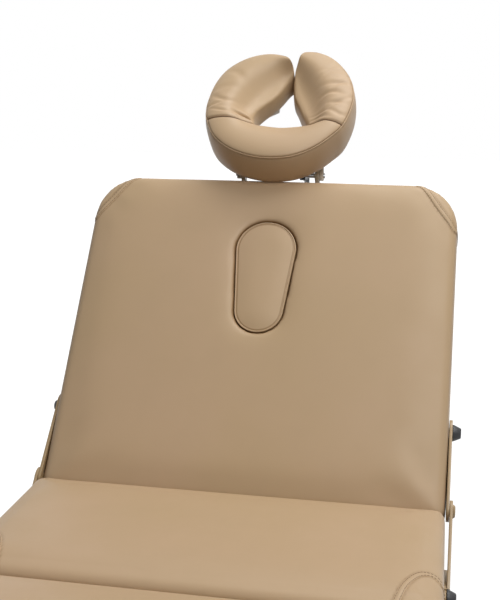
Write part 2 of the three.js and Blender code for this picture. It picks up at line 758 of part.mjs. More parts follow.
function backrest() {
  const back = group(bed, [0, hingeSetback, -hingeDepth], backAngle);
  for (const [hand, side] of sides) {
    piece(back, `back_arm_${hand}`, backArm(side), cream);
    const rail = side > 0 ? [railInner, railOuter] : [-railOuter, -railInner];
    let geometry = tubeAlong(Y, [backRailStart, backRailEnd], rail, [backRailBottom, backRailTop]);
    if (side > 0) {
      geometry = cut(geometry, bar(X, holeSize, [railOuter - 6, railOuter + past], releaseAt));
    }
    piece(back, `back_rail_${hand}`, geometry, cream);
    clampKnob(back, `back_knob_${hand}`, side, armOuter + touch, backKnobAt, armWall);
  }
  // The lug is wide enough to keep steel all round the rod pin's window.
  const lug = lugShape([backCrossLowerY[0] + 2, backRailBottom + weld],
    [backSpringTo[0] + 3, backSpringTo[1] - 2], 20,
    [backCrossLowerY[1] - 1, backRailBottom + weld]);
  piece(back, 'back_cross_lower', cut(
    join(
      tubeAlong(X, [-railInner + touch, railInner - touch], backCrossLowerY,
        [backRailBottom, backRailTop]),
      ...lugPair(lug),
    ),
    lugWindow(backSpringTo, backWindow),
  ), cream);
  piece(back, 'back_cross_upper', backCrossUpper(), cream);
  paddedSection(back, 'back', [-backOverhang, backEnd], backTop, [squareCorner, headCorner], true);
  releaseLever(back, 'back_release_lever', railOuter, releaseAt);

  const outline = (inward) => plugOutline(new THREE.Shape(), -inward);
  const plugBoardTop = backTop - plugFoam;
  piece(back, 'plug_pad',
    slab(outline(0), plugBoardTop + touch, backTop, plugEdge, 6, 2), vinyl);
  piece(back, 'plug_board',
    slab(outline(plugBoardInset), plugBoardTop - boardDepth, plugBoardTop, 0, 6), plywood);
  return back;
}

// ---- Springs, in the frame of the bed --------------------------------------------------------------

function toBed([y, z], [pivotY, pivotZ], degrees) {
  const angle = THREE.MathUtils.degToRad(degrees);
  return [
    pivotY + y * Math.cos(angle) - z * Math.sin(angle),
    pivotZ + y * Math.sin(angle) + z * Math.cos(angle),
  ];
}

const legSpringTo = [-200, legPivotDepth + railBottom - 24.7]; // on the leg rest, from its pivot
const legWindow = { y: [0, 1.5], z: [-5.6, 0] };

function springs() {
  gasSpring(bed, 'back_spring', backSpringFrom,
    toBed(backSpringTo, [hingeSetback, -hingeDepth], backAngle), backSpring);
  gasSpring(bed, 'leg_spring', legSpringFrom,
    toBed(legSpringTo, [legPivotY, -legPivotDepth], 0), legSpring);
}

// ---- Leg rest ----------------------------------------------------------------------------------------

function legRest() {
  const leg = group(bed, [0, legPivotY, -legPivotDepth]);
  const top = legPivotDepth;
  const railZ = [top + railBottom, top + railTop];
  const outer = railOuter - legRailInset;
  const inner = outer - tube;
  const end = legOverhang - legLength;
  const railY = [end + 30, -22];
  const earRootY = -60;
  const leverAt = [-150, railZ[1] - tube / 2];
  for (const [hand, side] of sides) {
    const x = (a, b) => [side * a, side * b];
    const ear = lugShape([earRootY, railZ[0] + 4], [0, 0], legEarRadius,
      [earRootY, railZ[1] - 3]);
    const tools = [bar(X, legShaftRadius + running, x(inner - 8, inner + 4), [0, 0])];
    if (side > 0) tools.push(bar(X, holeSize, [outer - 6, outer + past], leverAt));
    piece(leg, `leg_rail_${hand}`, cut(
      join(
        tubeAlong(Y, railY, side > 0 ? [inner, outer] : [-outer, -inner], railZ),
        plate(ear, x(inner - legEarWall + weld, inner + weld)),
      ),
      ...tools,
    ), cream);
  }
  const crossY = [legSpringTo[0] - tube / 2, legSpringTo[0] + tube / 2];
  const lugRadius = 15;
  const lugFoot = railZ[0] + weld;
  const lug = lugShape([legSpringTo[0] - lugRadius, lugFoot],
    [legSpringTo[0] + 1, legSpringTo[1] - 3], lugRadius, [crossY[1] - 3, lugFoot]);
  piece(leg, 'leg_cross', cut(
    join(tubeAlong(X, [-inner + touch, inner - touch], crossY, railZ), ...lugPair(lug)),
    lugWindow(legSpringTo, legWindow),
  ), cream);
  paddedSection(leg, 'leg', [end, legOverhang], top, [footCorner, squareCorner]);
  releaseLever(leg, 'leg_release_lever', outer, leverAt);
}

// ---- Face cradle ---------------------------------------------------------------------------------------

const cradleAxisY = backEnd + cradleHingeReach;
const cradleAxisZ = backTop - cradleHingeDepth;
const camLeverAt = 40;        // between the slide frame's lugs, to the right
const camHub = 11;

function cradleSlide(back) {
  const barY = [cradleAxisY - 18, cradleAxisY + 4];
  const barZ = [postZ - 10, postZ + 10];
  const barEnd = 14;
  const postSetback = 8;
  const reach = postSpacing / 2;
  const axis = [cradleAxisY, cradleAxisZ];
  const lugOuter = cradleLugAt + cradleLugWall;
  const lugs = sides.map(([, side]) => plate(
    lugShape([barY[1] - 0.5, barZ[1] - weld], axis, cradleEyeRadius,
      [barY[0] + 0.5, barZ[1] - weld]),
    [side * cradleLugAt, side * lugOuter],
  ));
  const frame = join(
    box([-reach - barEnd, reach + barEnd], barY, barZ),
    ...[-reach, reach].map((x) => bar(Y, postRadius, [socketY[0] + postSetback, barY[0] + weld],
      [x, postZ])),
    ...lugs,
  );
  piece(back, 'cradle_slide_frame',
    cut(frame, bar(X, holeSize, [-lugOuter - past, lugOuter + past], axis)), cream);
  const pinReach = lugOuter + sideRun + cradleLugWall + pinProud;
  piece(back, 'cradle_hinge_pin', bar(X, springPin, [-pinReach, pinReach], axis), steel);
  const knob = knobSolid(socketRadius - postRadius).rotateY(Math.PI / 2);
  piece(back, 'post_clamp_knob',
    knob.translate(postSpacing / 2, clampAt, postZ - socketRadius - touch), blackPlastic);
}

// The horseshoe's outline about the tilt axis, set in by `inset`, with a gap between its arms.
function horseshoe(inset, gap) {
  const middle = cushionHalfLength - cushionBack;
  const halfX = cushionHalfWidth - inset;
  const halfY = cushionHalfLength - inset;
  const hole = faceHoleRadius + inset * faceHoleFlare;
  const holeY = middle - cushionHalfLength + cushionBand + faceHoleRadius;
  const neckY = middle + cushionHalfLength - armGapLength;
  const halfGap = gap / 2;
  const slope = Math.acos(hole / (neckY - holeY));
  const tipAngle = Math.asin(halfGap / halfX);
  const shape = new THREE.Shape();
  shape.absellipse(0, middle, halfX, halfY, Math.PI / 2 + tipAngle,
    Math.PI * 2.5 - tipAngle, false, 0);
  shape.lineTo(halfGap, neckY - halfGap);
  shape.absarc(0, holeY, hole, Math.PI / 2 - slope, Math.PI / 2 + slope, true);
  shape.lineTo(-halfGap, neckY - halfGap);
  shape.closePath();
  return shape;
}

function cradleHead(back) {
  const tilt = group(back, [0, cradleAxisY, cradleAxisZ], -cradleTilt);
  const platformZ = [cushionRise - touch - platformDepth, cushionRise - touch];
  const lugInner = cradleLugAt + cradleLugWall + sideRun;
  const lugOuter = lugInner + cradleLugWall;
  const lugFoot = platformZ[0] + weld;
  const lugs = sides.map(([, side]) => plate(
    lugShape([-14, lugFoot], [0, 0], cradleEyeRadius - 1, [14, lugFoot]),
    [side * lugInner, side * lugOuter],
  ));
  piece(tilt, 'cradle_platform', cut(
    join(slab(horseshoe(platformInset, platformGap), ...platformZ, 0, 10), ...lugs),
    bar(X, holeSize, [-lugOuter - past, lugOuter + past], [0, 0]),
  ), cream);
  piece(tilt, 'cradle_cushion',
    slab(horseshoe(0, armGap), cushionRise, cushionRise + cushionDepth, cushionEdge, 10, 2), vinyl);
}

function camLever(back) {
  const length = 64;
  const restTurn = 111.6;
  const lever = cut(
    join(
      bar(X, 10, [0, camHub], [0, 0]),
      box([2, camHub - 2], [-length, 0], [-5, 5]),
      bar(X, 7, [1, camHub - 1], [-length, 0]),
    ),
    bar(X, holeSize, [-past, camHub + past], [0, 0]),
  );
  const mesh = piece(back, 'cradle_cam_lever', lever, blackPlastic);
  mesh.position.set(camLeverAt, cradleAxisY, cradleAxisZ);
  mesh.rotation.x = THREE.MathUtils.degToRad(restTurn);
}

// ---- Assembly ------------------------------------------------------------------------------------------

rubberFeet();
pumpBase();
pumpHousing();
columnCover();
pedal();
lift();
seat();
const back = backrest();
springs();
legRest();
cradleSlide(back);
cradleHead(back);
camLever(back);

// Stand the bed on the floor, with the origin under the middle of its box.
bed.updateMatrixWorld(true);
const bounds = new THREE.Box3().setFromObject(bed, true);
const middle = bounds.getCenter(new THREE.Vector3());
bed.position.set(-middle.x, -middle.y, -bounds.min.z);

export default bed;
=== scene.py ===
"""Facial treatment bed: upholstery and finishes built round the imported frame."""

import json
import math

import bmesh
import bpy
import numpy as np
from mathutils import Matrix, Vector
from mathutils.bvhtree import BVHTree
from mathutils.kdtree import KDTree


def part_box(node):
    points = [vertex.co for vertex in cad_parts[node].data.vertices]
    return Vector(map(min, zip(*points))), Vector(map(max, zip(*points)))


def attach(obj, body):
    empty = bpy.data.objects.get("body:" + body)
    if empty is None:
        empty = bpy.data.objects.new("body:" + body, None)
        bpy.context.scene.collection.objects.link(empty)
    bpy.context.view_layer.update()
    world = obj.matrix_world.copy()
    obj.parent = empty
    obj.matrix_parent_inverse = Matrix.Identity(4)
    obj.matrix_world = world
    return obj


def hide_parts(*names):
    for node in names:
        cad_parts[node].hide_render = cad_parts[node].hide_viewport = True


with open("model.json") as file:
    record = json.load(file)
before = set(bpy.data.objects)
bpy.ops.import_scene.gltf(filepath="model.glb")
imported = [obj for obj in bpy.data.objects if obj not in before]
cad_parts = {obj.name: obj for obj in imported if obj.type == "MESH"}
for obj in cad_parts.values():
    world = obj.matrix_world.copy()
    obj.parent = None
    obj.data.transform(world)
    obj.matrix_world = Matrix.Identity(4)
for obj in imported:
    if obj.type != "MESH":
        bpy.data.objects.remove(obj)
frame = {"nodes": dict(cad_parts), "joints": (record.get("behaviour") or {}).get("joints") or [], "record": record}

bl_info = {
    "name": "Facial treatment bed",
    "version": (1, 0, 0),
    "blender": (4, 5, 0),
    "location": "View3D > Sidebar > Treatment bed",
    "description": "Upholsters and finishes a facial treatment bed on its steel frame",
    "category": "Object",
}

MM = 0.001

# ---- Places taken from the frame -------------------------------------------------------------


def joint(name):
    """One of the frame's joints by name."""
    return next(j for j in frame["joints"] if j["name"] == name)


def placed(origin, degrees=0.0):
    """The matrix of a panel's own frame: its origin in the bed's frame, turned about X."""
    return Matrix.Translation(Vector(origin)) @ Matrix.Rotation(math.radians(degrees), 4, "X")


BACK_ANGLE = -joint("backrest_hinge")["range_deg"][0]
CRADLE_FLATTER = 14.0  # degrees by which the face cradle lies flatter than the backrest
FLAT = placed((0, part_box("seat_cover")[1].y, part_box("seat_cover")[1].z))
BACK = placed(joint("backrest_hinge")["pos_m"], BACK_ANGLE)
CRADLE = placed(joint("cradle_tilt")["pos_m"], BACK_ANGLE - CRADLE_FLATTER)


def local_box(node, place):
    """Lowest and highest corner of a node in a panel's own frame."""
    inverse = place.inverted()
    points = np.array([inverse @ v.co for v in frame["nodes"][node].data.vertices])
    return Vector(points.min(0)), Vector(points.max(0))


# ---- Settings --------------------------------------------------------------------------------


def length_setting(name, description, default):
    """A length property in metres."""
    return bpy.props.FloatProperty(
        name=name, description=description, default=default, min=0.0, subtype="DISTANCE",
        unit="LENGTH", precision=4,
    )


def colour_setting(name, description, default):
    """A colour property."""
    return bpy.props.FloatVectorProperty(
        name=name, description=description, default=default, size=4, min=0.0, max=1.0,
        subtype="COLOR",
    )


def angle_setting(name, description, degrees):
    """An angle property."""
    return bpy.props.FloatProperty(
        name=name, description=description, default=math.radians(degrees), subtype="ANGLE",
    )


def power_setting(name, description, default):
    """The power of a light."""
    return bpy.props.FloatProperty(
        name=name, description=description, default=default, min=0.0, subtype="POWER",
        unit="POWER",
    )


def number_setting(name, description, default):
    """A plain number."""
    return bpy.props.FloatProperty(
        name=name, description=description, default=default, min=0.0,
    )


class UpholsterySettings(bpy.types.PropertyGroup):
    """Sizes of the padded sections."""

    edge: length_setting("Edge", "Rounding of the pads' upper edges", 12 * MM)
    crown: length_setting("Crown", "How far the filling may swell a pad", 3.5 * MM)
    fall: length_setting("Fall", "How far a pad's top falls towards its edges", 4 * MM)
    voxel: length_setting("Mesh size", "Size of the faces that the filling moves", 7 * MM)
    pressure: number_setting("Filling pressure", "Pressure of the filling under the cover", 4.0)
    hole_edge: length_setting("Hole edge", "Rounding of the breathing hole's rim", 6 * MM)
    hem: length_setting("Hem", "Width of cover turned in under the board", 28 * MM)
    seam: length_setting("Seam", "Radius of a sewn seam's cord", 0.9 * MM)
    stitch: length_setting("Stitch", "Length of one stitch", 4 * MM)


class FinishSettings(bpy.types.PropertyGroup):
    """Colours of the materials."""

    vinyl: colour_setting("Vinyl", "Upholstery vinyl", (0.53, 0.375, 0.226, 1.0))
    thread: colour_setting("Thread", "Sewing thread", (0.20, 0.12, 0.065, 1.0))
    cream: colour_setting("Cream paint", "Powder coat on the frame", (0.76, 0.70, 0.60, 1.0))
    # Darker than the cream frame: partly beige paint, partly painted shade on the arms beside the pads.
    beige: colour_setting("Beige paint", "Powder coat beside the pads", (0.42, 0.29, 0.15, 1.0))
    dark: colour_setting("Dark paint", "Powder coat on the pump", (0.045, 0.047, 0.052, 1.0))
    steel: colour_setting("Steel", "Zinc plated steel", (0.50, 0.51, 0.53, 1.0))
    chrome: colour_setting("Chrome", "Hard chrome", (0.75, 0.76, 0.78, 1.0))
    plastic: colour_setting("Black plastic", "Moulded knobs and levers", (0.018, 0.018, 0.02, 1.0))
    rubber: colour_setting("Rubber", "Feet and pedal pad", (0.03, 0.03, 0.032, 1.0))
    ply: colour_setting("Plywood", "Boards under the foam", (0.52, 0.36, 0.19, 1.0))


class StageSettings(bpy.types.PropertyGroup):
    """Camera and light."""

    eye: bpy.props.FloatVectorProperty(
        name="Camera", description="Place of the camera", default=(0.326, -1.4221, 1.3359),
        size=3, subtype="TRANSLATION", unit="LENGTH",
    )
    yaw: angle_setting("Yaw", "Turn of the camera towards -X", 10.67)
    pitch: angle_setting("Pitch", "How far the camera looks down", 12.77)
    roll: angle_setting("Roll", "Turn of the camera about its own axis", 0.43)
    lens: number_setting("Lens", "Focal length on a 36 mm sensor, in millimetres", 62.28)
    key: power_setting("Key light", "Power of the overhead softbox", 64.0)
    fill: power_setting("Front light", "Power of the front softbox", 57.0)
    ambient: number_setting("Ambient", "Strength of the light from all round", 0.08)


# ---- Shader expressions ----------------------------------------------------------------------


class Value:
    """A shader socket in an expression. Arithmetic on it adds Math nodes."""

    def __init__(self, graph, socket):
        self.graph = graph
        self.socket = socket

    def _math(self, operation, first, second):
        return self.graph.add("ShaderNodeMath", {"operation": operation}, [first, second])

    def __add__(self, other):
        return self._math("ADD", self, other)

    def __radd__(self, other):
        return self._math("ADD", other, self)

    def __mul__(self, other):
        return self._math("MULTIPLY", self, other)

    def __rmul__(self, other):
        return self._math("MULTIPLY", other, self)


class Nodes:
    """A node tree, and the one way of adding nodes to it."""

    def __init__(self, tree):
        self.tree = tree

    def add(self, kind, settings, inputs, output=0):
        """Adds a node, sets it, and fills its sockets from a list or dict of values and links."""
        node = self.tree.nodes.new(kind)
        for name, value in settings.items():
            setattr(node, name, value)
        pairs = inputs.items() if isinstance(inputs, dict) else enumerate(inputs)
        for key, value in pairs:
            self.feed(node, key, value)
        return Value(self, node.outputs[output])

    def feed(self, node, key, value):
        """Gives one socket of a node a value or a link."""
        if isinstance(value, Value):
            self.tree.links.new(value.socket, node.inputs[key])
        else:
            node.inputs[key].default_value = value

    def ramp(self, value, low, high, to_low=0.0, to_high=1.0):
        """A smooth step of value between two limits."""
        inputs = {"Value": value, "From Min": low, "From Max": high, "To Min": to_low,
                  "To Max": to_high}
        return self.add("ShaderNodeMapRange", {"interpolation_type": "SMOOTHSTEP"}, inputs)

    def seen(self, unseen=0.0):
        """1 where the camera, a reflection or glass looks, and unseen for other rays."""
        rays = [self.add("ShaderNodeLightPath", {}, {}, f"Is {kind} Ray")
                for kind in ("Camera", "Glossy", "Transmission")]
        return self.ramp(rays[0] + rays[1] + rays[2], 0.0, 1.0, unseen, 1.0)


class Graph(Nodes):
    """The node tree of one material."""

    def __init__(self, name, roughness, metallic=0.0, **constants):
        self.material = bpy.data.materials.new(name)
        self.material.use_nodes = True
        super().__init__(self.material.node_tree)
        self.shader = self.tree.nodes["Principled BSDF"]
        self.finish(Roughness=roughness, Metallic=metallic, **constants)

    def place(self):
        """The point on the object, in metres."""
        return self.add("ShaderNodeTexCoord", {}, {}, "Object")

    def stretched(self, point, scale):
        """The point with each coordinate scaled."""
        return self.add("ShaderNodeVectorMath", {"operation": "MULTIPLY"}, [point, scale])

    def grain(self, point, scale, detail=2.0, rough=0.5):
        """Smooth noise from 0 to 1."""
        inputs = {"Vector": point, "Scale": scale, "Detail": detail, "Roughness": rough}
        return self.add("ShaderNodeTexNoise", {}, inputs, "Fac")

    def cells(self, point, scale):
        """Distance to the nearest cell border, as in leather grain."""
        settings = {"feature": "DISTANCE_TO_EDGE"}
        return self.add("ShaderNodeTexVoronoi", settings, {"Vector": point, "Scale": scale},
                        "Distance")

    def mask(self, name):
        """A mask painted on the mesh's points."""
        settings = {"attribute_type": "GEOMETRY", "attribute_name": name}
        return self.add("ShaderNodeAttribute", settings, {}, "Fac")

    def mix(self, share, first, second):
        """Mixes two colours."""
        inputs = {0: share, 6: first, 7: second}
        return self.add("ShaderNodeMix", {"data_type": "RGBA"}, inputs, 2)

    def bump(self, height, distance, strength=1.0):
        """A bumped normal from a height, with the relief's depth in metres."""
        inputs = {"Strength": strength, "Distance": distance, "Height": height}
        return self.add("ShaderNodeBump", {}, inputs)

    def finish(self, **sockets):
        """Feeds the shader's sockets with values and links, and returns the material."""
        for socket, value in sockets.items():
            self.feed(self.shader, socket.replace("_", " "), value)
        return self.material


def shade(rgba, factor):
    """A colour made darker or lighter."""
    return tuple(min(1.0, c * factor) for c in rgba[:3]) + (1.0,)


def toned(rgba, red, green, blue):
    """A colour with each channel scaled."""
    return (rgba[0] * red, rgba[1] * green, rgba[2] * blue, 1.0)


# ---- Materials -------------------------------------------------------------------------------


def vinyl_finish(rgba):
    """Smooth upholstery vinyl: fine grain, slow changes of tone, and painted shade in its creases and seams."""
    g = Graph("upholstery_vinyl", 0.42, Specular_IOR_Level=0.3)
    point = g.place()
    cloud = g.grain(point, 3.0, 2.0)
    worn = g.grain(point, 14.0, 3.0)
    pores = g.cells(point, 900.0)
    wrinkle = g.grain(point, 260.0, 3.0)
    cool, warm = toned(rgba, 0.97, 0.97, 0.94), toned(rgba, 1.03, 1.02, 1.05)
    mottled = g.mix(g.ramp(cloud, 0.3, 0.7), cool, warm)
    tinted = g.mix(g.ramp(worn, 0.35, 0.8) * 0.25, mottled, shade(rgba, 0.92))
    # Painted shade: the mask darkens creases, seams and grooves towards a warm brown.
    shaded_creases = g.mix(g.mask("crease_shade"), tinted, toned(rgba, 0.46, 0.36, 0.24))
    relief = g.ramp(pores, 0.0, 0.12) * 0.35 + wrinkle * 0.65
    return g.finish(
        Base_Color=shaded_creases,
        Roughness=g.ramp(worn, 0.2, 0.8, 0.38, 0.5),
        Normal=g.bump(relief, 0.12 * MM, 0.5),
    )


def thread_finish(rgba):
    """Twisted polyester thread."""
    g = Graph("sewing_thread", 0.7)
    fibre = g.grain(g.place(), 1800.0, 2.0)
    tone = g.mix(g.ramp(fibre, 0.3, 0.7), shade(rgba, 0.75), shade(rgba, 1.2))
    return g.finish(Base_Color=tone, Normal=g.bump(fibre, 0.1 * MM, 0.6))


def paint_finish(name, rgba, roughness):
    """Powder coat: orange-peel relief, a little dust and slight changes of tone."""
    g = Graph(name, roughness, Coat_Weight=0.15, Coat_Roughness=0.2)
    point = g.place()
    cloud = g.grain(point, 6.0, 3.0)
    peel = g.grain(point, 420.0, 1.0)
    speck = g.grain(point, 1100.0, 2.0)
    tone = g.mix(g.ramp(cloud, 0.3, 0.75), rgba, shade(rgba, 0.9))
    dusted = g.mix(g.ramp(speck, 0.68, 0.8) * 0.3, tone, shade(rgba, 0.7))
    return g.finish(
        Base_Color=dusted,
        Roughness=g.ramp(cloud, 0.2, 0.8, roughness - 0.06, roughness + 0.1),
        Normal=g.bump(peel, 0.15 * MM, 0.35),
    )


def metal_finish(name, rgba, roughness, brush):
    """Plated steel with fine marks along its length."""
    g = Graph(name, roughness, 1.0)
    point = g.place()
    marks = g.grain(g.stretched(point, brush), 60.0, 3.0)
    cloud = g.grain(point, 18.0, 3.0)
    tone = g.mix(g.ramp(cloud, 0.3, 0.75), rgba, shade(rgba, 0.86))
    return g.finish(
        Base_Color=tone,
        Roughness=g.ramp(marks, 0.2, 0.8, roughness * 0.8, roughness * 1.35),
        Normal=g.bump(marks, 0.04 * MM, 0.4),
    )


def moulded_finish(name, rgba, roughness, relief):
    """Moulded plastic or rubber with a fine spark-eroded texture."""
    g = Graph(name, roughness)
    point = g.place()
    texture = g.grain(point, 1400.0, 2.0)
    cloud = g.grain(point, 25.0, 3.0)
    tone = g.mix(g.ramp(cloud, 0.35, 0.8), rgba, shade(rgba, 1.5))
    return g.finish(
        Base_Color=tone,
        Roughness=g.ramp(cloud, 0.2, 0.8, roughness - 0.07, roughness + 0.08),
        Normal=g.bump(texture, relief, 0.5),
    )


def ply_finish(rgba):
    """Birch plywood: long grain on the faces and thin plies at the edges."""
    g = Graph("birch_plywood", 0.7)
    point = g.place()
    grain = g.grain(g.stretched(point, (1.0, 9.0, 40.0)), 14.0, 4.0, 0.6)
    fine = g.grain(g.stretched(point, (1.0, 20.0, 60.0)), 40.0, 3.0)
    tone = g.mix(g.ramp(grain, 0.3, 0.7), shade(rgba, 1.12), shade(rgba, 0.72))
    streaked = g.mix(g.ramp(fine, 0.55, 0.75) * 0.4, tone, shade(rgba, 0.5))
    return g.finish(Base_Color=streaked, Normal=g.bump(grain, 0.2 * MM, 0.5))


MATERIALS = {}


def make_materials(finish):
    """Builds every material once, from the colours in the settings."""
    MATERIALS.update(
        vinyl=vinyl_finish(tuple(finish.vinyl)),
        thread=thread_finish(tuple(finish.thread)),
        cream_paint=paint_finish("cream_powder_coat", tuple(finish.cream), 0.38),
        # The arms, rails and pins beside the pads: beige paint, darkened further as painted shade.
        arm_paint=paint_finish("beige_powder_coat_and_shade", tuple(finish.beige), 0.4),
        dark_paint=paint_finish("dark_powder_coat", tuple(finish.dark), 0.42),
        bright_steel=metal_finish("zinc_plate", tuple(finish.steel), 0.3, (1.0, 12.0, 12.0)),
        chrome=metal_finish("hard_chrome", tuple(finish.chrome), 0.09, (8.0, 8.0, 1.0)),
        black_plastic=moulded_finish("black_plastic", tuple(finish.plastic), 0.42, 0.1 * MM),
        rubber=moulded_finish("black_rubber", tuple(finish.rubber), 0.75, 0.3 * MM),
        plywood=ply_finish(tuple(finish.ply)),
    )


# ---- Mesh helpers ----------------------------------------------------------------------------


def object_of(name, points, faces, slot):
    """A smooth-shaded mesh object with one of the materials."""
    mesh = bpy.data.meshes.new(name)
    mesh.from_pydata([tuple(p) for p in points], [], faces)
    mesh.materials.append(MATERIALS[slot])
    mesh.shade_smooth()
    made = bpy.data.objects.new(name, mesh)
    bpy.context.scene.collection.objects.link(made)
    return made


def loop_faces(count, around, closed=False):
    """Faces that join count loops of around points each, with both ends capped or joined."""
    faces = []
    for i in range(count if closed else count - 1):
        a, b = i * around, (i + 1) % count * around
        for k in range(around):
            m = (k + 1) % around
            faces.append((a + k, a + m, b + m, b + k))
    if not closed:
        faces.append(tuple(range(around)))
        faces.append(tuple(reversed(range((count - 1) * around, count * around))))
    return faces


def vectors_of(items, key):
    """One vector of each item of a mesh, as an array."""
    values = np.empty(len(items) * 3, np.float32)
    items.foreach_get(key, values)
    return values.reshape(-1, 3).astype(float)


def points_of(piece):
    """A mesh's points as an array."""
    return vectors_of(piece.data.vertices, "co")


def normals_of(piece):
    """A mesh's point normals as an array."""
    return vectors_of(piece.data.vertex_normals, "vector")


def set_points(piece, points):
    """Moves a mesh's points."""
    piece.data.vertices.foreach_set("co", points.astype(np.float32).ravel())
    piece.data.update()


def apply_modifiers(piece):
    """Replaces a mesh by what its modifiers make of it."""
    graph = bpy.context.evaluated_depsgraph_get()
    made = bpy.data.meshes.new_from_object(piece.evaluated_get(graph), depsgraph=graph)
    old = piece.data
    piece.modifiers.clear()
    piece.data = made
    bpy.data.meshes.remove(old)


def tree_of(piece):
    """A search tree of a mesh's surface."""
    mesh = piece.data
    return BVHTree.FromPolygons(
        [v.co for v in mesh.vertices], [tuple(p.vertices) for p in mesh.polygons],
    )


def curve_through(knots, count):
    """Points on a smooth curve through the given ones, evenly spread over its spans."""
    knots = np.array(knots, float)
    spans = len(knots) - 1
    made = []
    for t in np.linspace(0, spans, count):
        i = min(int(t), spans - 1)
        f = t - i
        b, c = knots[i], knots[i + 1]
        a = knots[i - 1] if i else 2 * b - c
        d = knots[i + 2] if i + 2 <= spans else 2 * c - b
        made.append(0.5 * (2 * b + (c - a) * f + (2 * a - 5 * b + 4 * c - d) * f ** 2
                           + (3 * b - 3 * c + d - a) * f ** 3))
    return np.array(made)


def evenly(path, step):
    """A path's points at equal steps along it."""
    path = np.array(path, float)
    reach = np.concatenate([[0], np.cumsum(np.linalg.norm(np.diff(path, axis=0), axis=1))])
    places = np.linspace(0, reach[-1], max(2, int(reach[-1] / step) + 1))
    return np.column_stack([np.interp(places, reach, path[:, k]) for k in range(path.shape[1])])


# ---- Padded sections -------------------------------------------------------------------------


ARC_STEP = 9 * MM
LEAST_CORNER = 1 * MM


def pad_outline(half, low, high, near, far, inset=0.0):
    """A pad's plan, counter-clockwise: radius near at the low end and far at the high end."""
    half, low, high = half - inset, low + inset, high - inset
    outline = []
    for side, end, radius, start in ((1, low, near, -90), (1, high, far, 0), (-1, high, far, 90),
                                     (-1, low, near, 180)):
        steps = 6 + int(radius / ARC_STEP)
        radius = max(radius - inset, LEAST_CORNER)
        x = side * (half - radius)
        y = end + radius if end == low else end - radius
        for angle in np.radians(np.linspace(start, start + 90, steps)):
            outline.append((x + radius * math.cos(angle), y + radius * math.sin(angle)))
    return outline


# The breathing hole: the radii of its two ends, and where their centres are along the backrest.
PLUG = {"head": 57.5 * MM, "foot": 46 * MM, "head_at": 459 * MM, "foot_at": 336 * MM}


def plug_outline(extra, count=96):
    """The breathing hole's plan, counter-clockwise, grown by extra."""
    head = PLUG["head"] + extra
    foot = PLUG["foot"] + extra
    lean = math.asin((head - foot) / (PLUG["head_at"] - PLUG["foot_at"]))
    half = count // 2
    outline = [
        (head * math.cos(a), PLUG["head_at"] + head * math.sin(a))
        for a in np.linspace(-lean, math.pi + lean, half)
    ]
    outline += [
        (foot * math.cos(a), PLUG["foot_at"] + foot * math.sin(a))
        for a in np.linspace(math.pi + lean, 2 * math.pi - lean, half)
    ]
    return outline


FALL_REACH = 75 * MM      # how far in from its edges a pad's top falls
FALL_SHARES = (0.12, 0.25, 0.4, 0.6, 0.8, 1.0)
SKIRT_INSET = 1 * MM      # how far the foot of a pad's side is drawn in, and up to what heights
SKIRT_HELD = 8 * MM
SKIRT_HEIGHT = 20 * MM
ROUNDING_ANGLES = np.radians(np.arange(15, 91, 15))


def edge_levels(bottom, top, radius, fall=0.0, skirt=0.0):
    """(inset, height) up a pad's side, round its upper edge and up the slow fall of its top."""
    levels = [(skirt, bottom), (skirt, bottom + SKIRT_HELD), (0.0, bottom + SKIRT_HEIGHT),
              (0.0, top - fall - radius)]
    for angle in ROUNDING_ANGLES:
        inset = radius * (1 - math.cos(angle))
        levels.append((inset, top - fall - radius * (1 - math.sin(angle))))
    for step in FALL_SHARES if fall else ():
        levels.append((radius + FALL_REACH * step, top - fall * (1 - step) ** 2))
    return levels


def pad_solid(name, plan, bottom, top, settings, hole_edge=None):
    """A pad as a closed solid in its own frame, with or without the breathing hole."""
    mesh = bmesh.new()

    def loops(levels, outline):
        rows = [[mesh.verts.new((x, y, z)) for x, y in outline(inset)] for inset, z in levels]
        for lower, upper in zip(rows, rows[1:]):
            for i in range(len(lower)):
                j = (i + 1) % len(lower)
                mesh.faces.new((lower[i], lower[j], upper[j], upper[i]))
        return rows[0], rows[-1]

    side = edge_levels(bottom, top, settings.edge, settings.fall, SKIRT_INSET)
    rims = [loops(side, lambda inset: pad_outline(*plan, inset))]
    if hole_edge:
        rims.append(loops(edge_levels(bottom, top, hole_edge), plug_outline))
    for end in (0, 1):
        edges = []
        for rim in rims:
            ring = rim[end]
            edges += [mesh.edges.get((ring[i], ring[i - 1])) for i in range(len(ring))]
        bmesh.ops.triangle_fill(mesh, use_beauty=True, use_dissolve=False, edges=edges)
    bmesh.ops.recalc_face_normals(mesh, faces=mesh.faces)
    made = object_of(name, [], [], "vinyl")
    mesh.to_mesh(made.data)
    mesh.free()
    return made


def remesh(piece, voxel, smoothing):
    """Evens out a mesh, and softens the steps that this leaves."""
    even = piece.modifiers.new("Even mesh", "REMESH")
    even.mode = "VOXEL"
    even.voxel_size = voxel
    soft = piece.modifiers.new("Soften", "SMOOTH")
    soft.factor = 0.5
    soft.iterations = smoothing
    apply_modifiers(piece)
    piece.data.shade_smooth()


FILLING_FRAMES = 20
EVEN_ROUNDS = 14


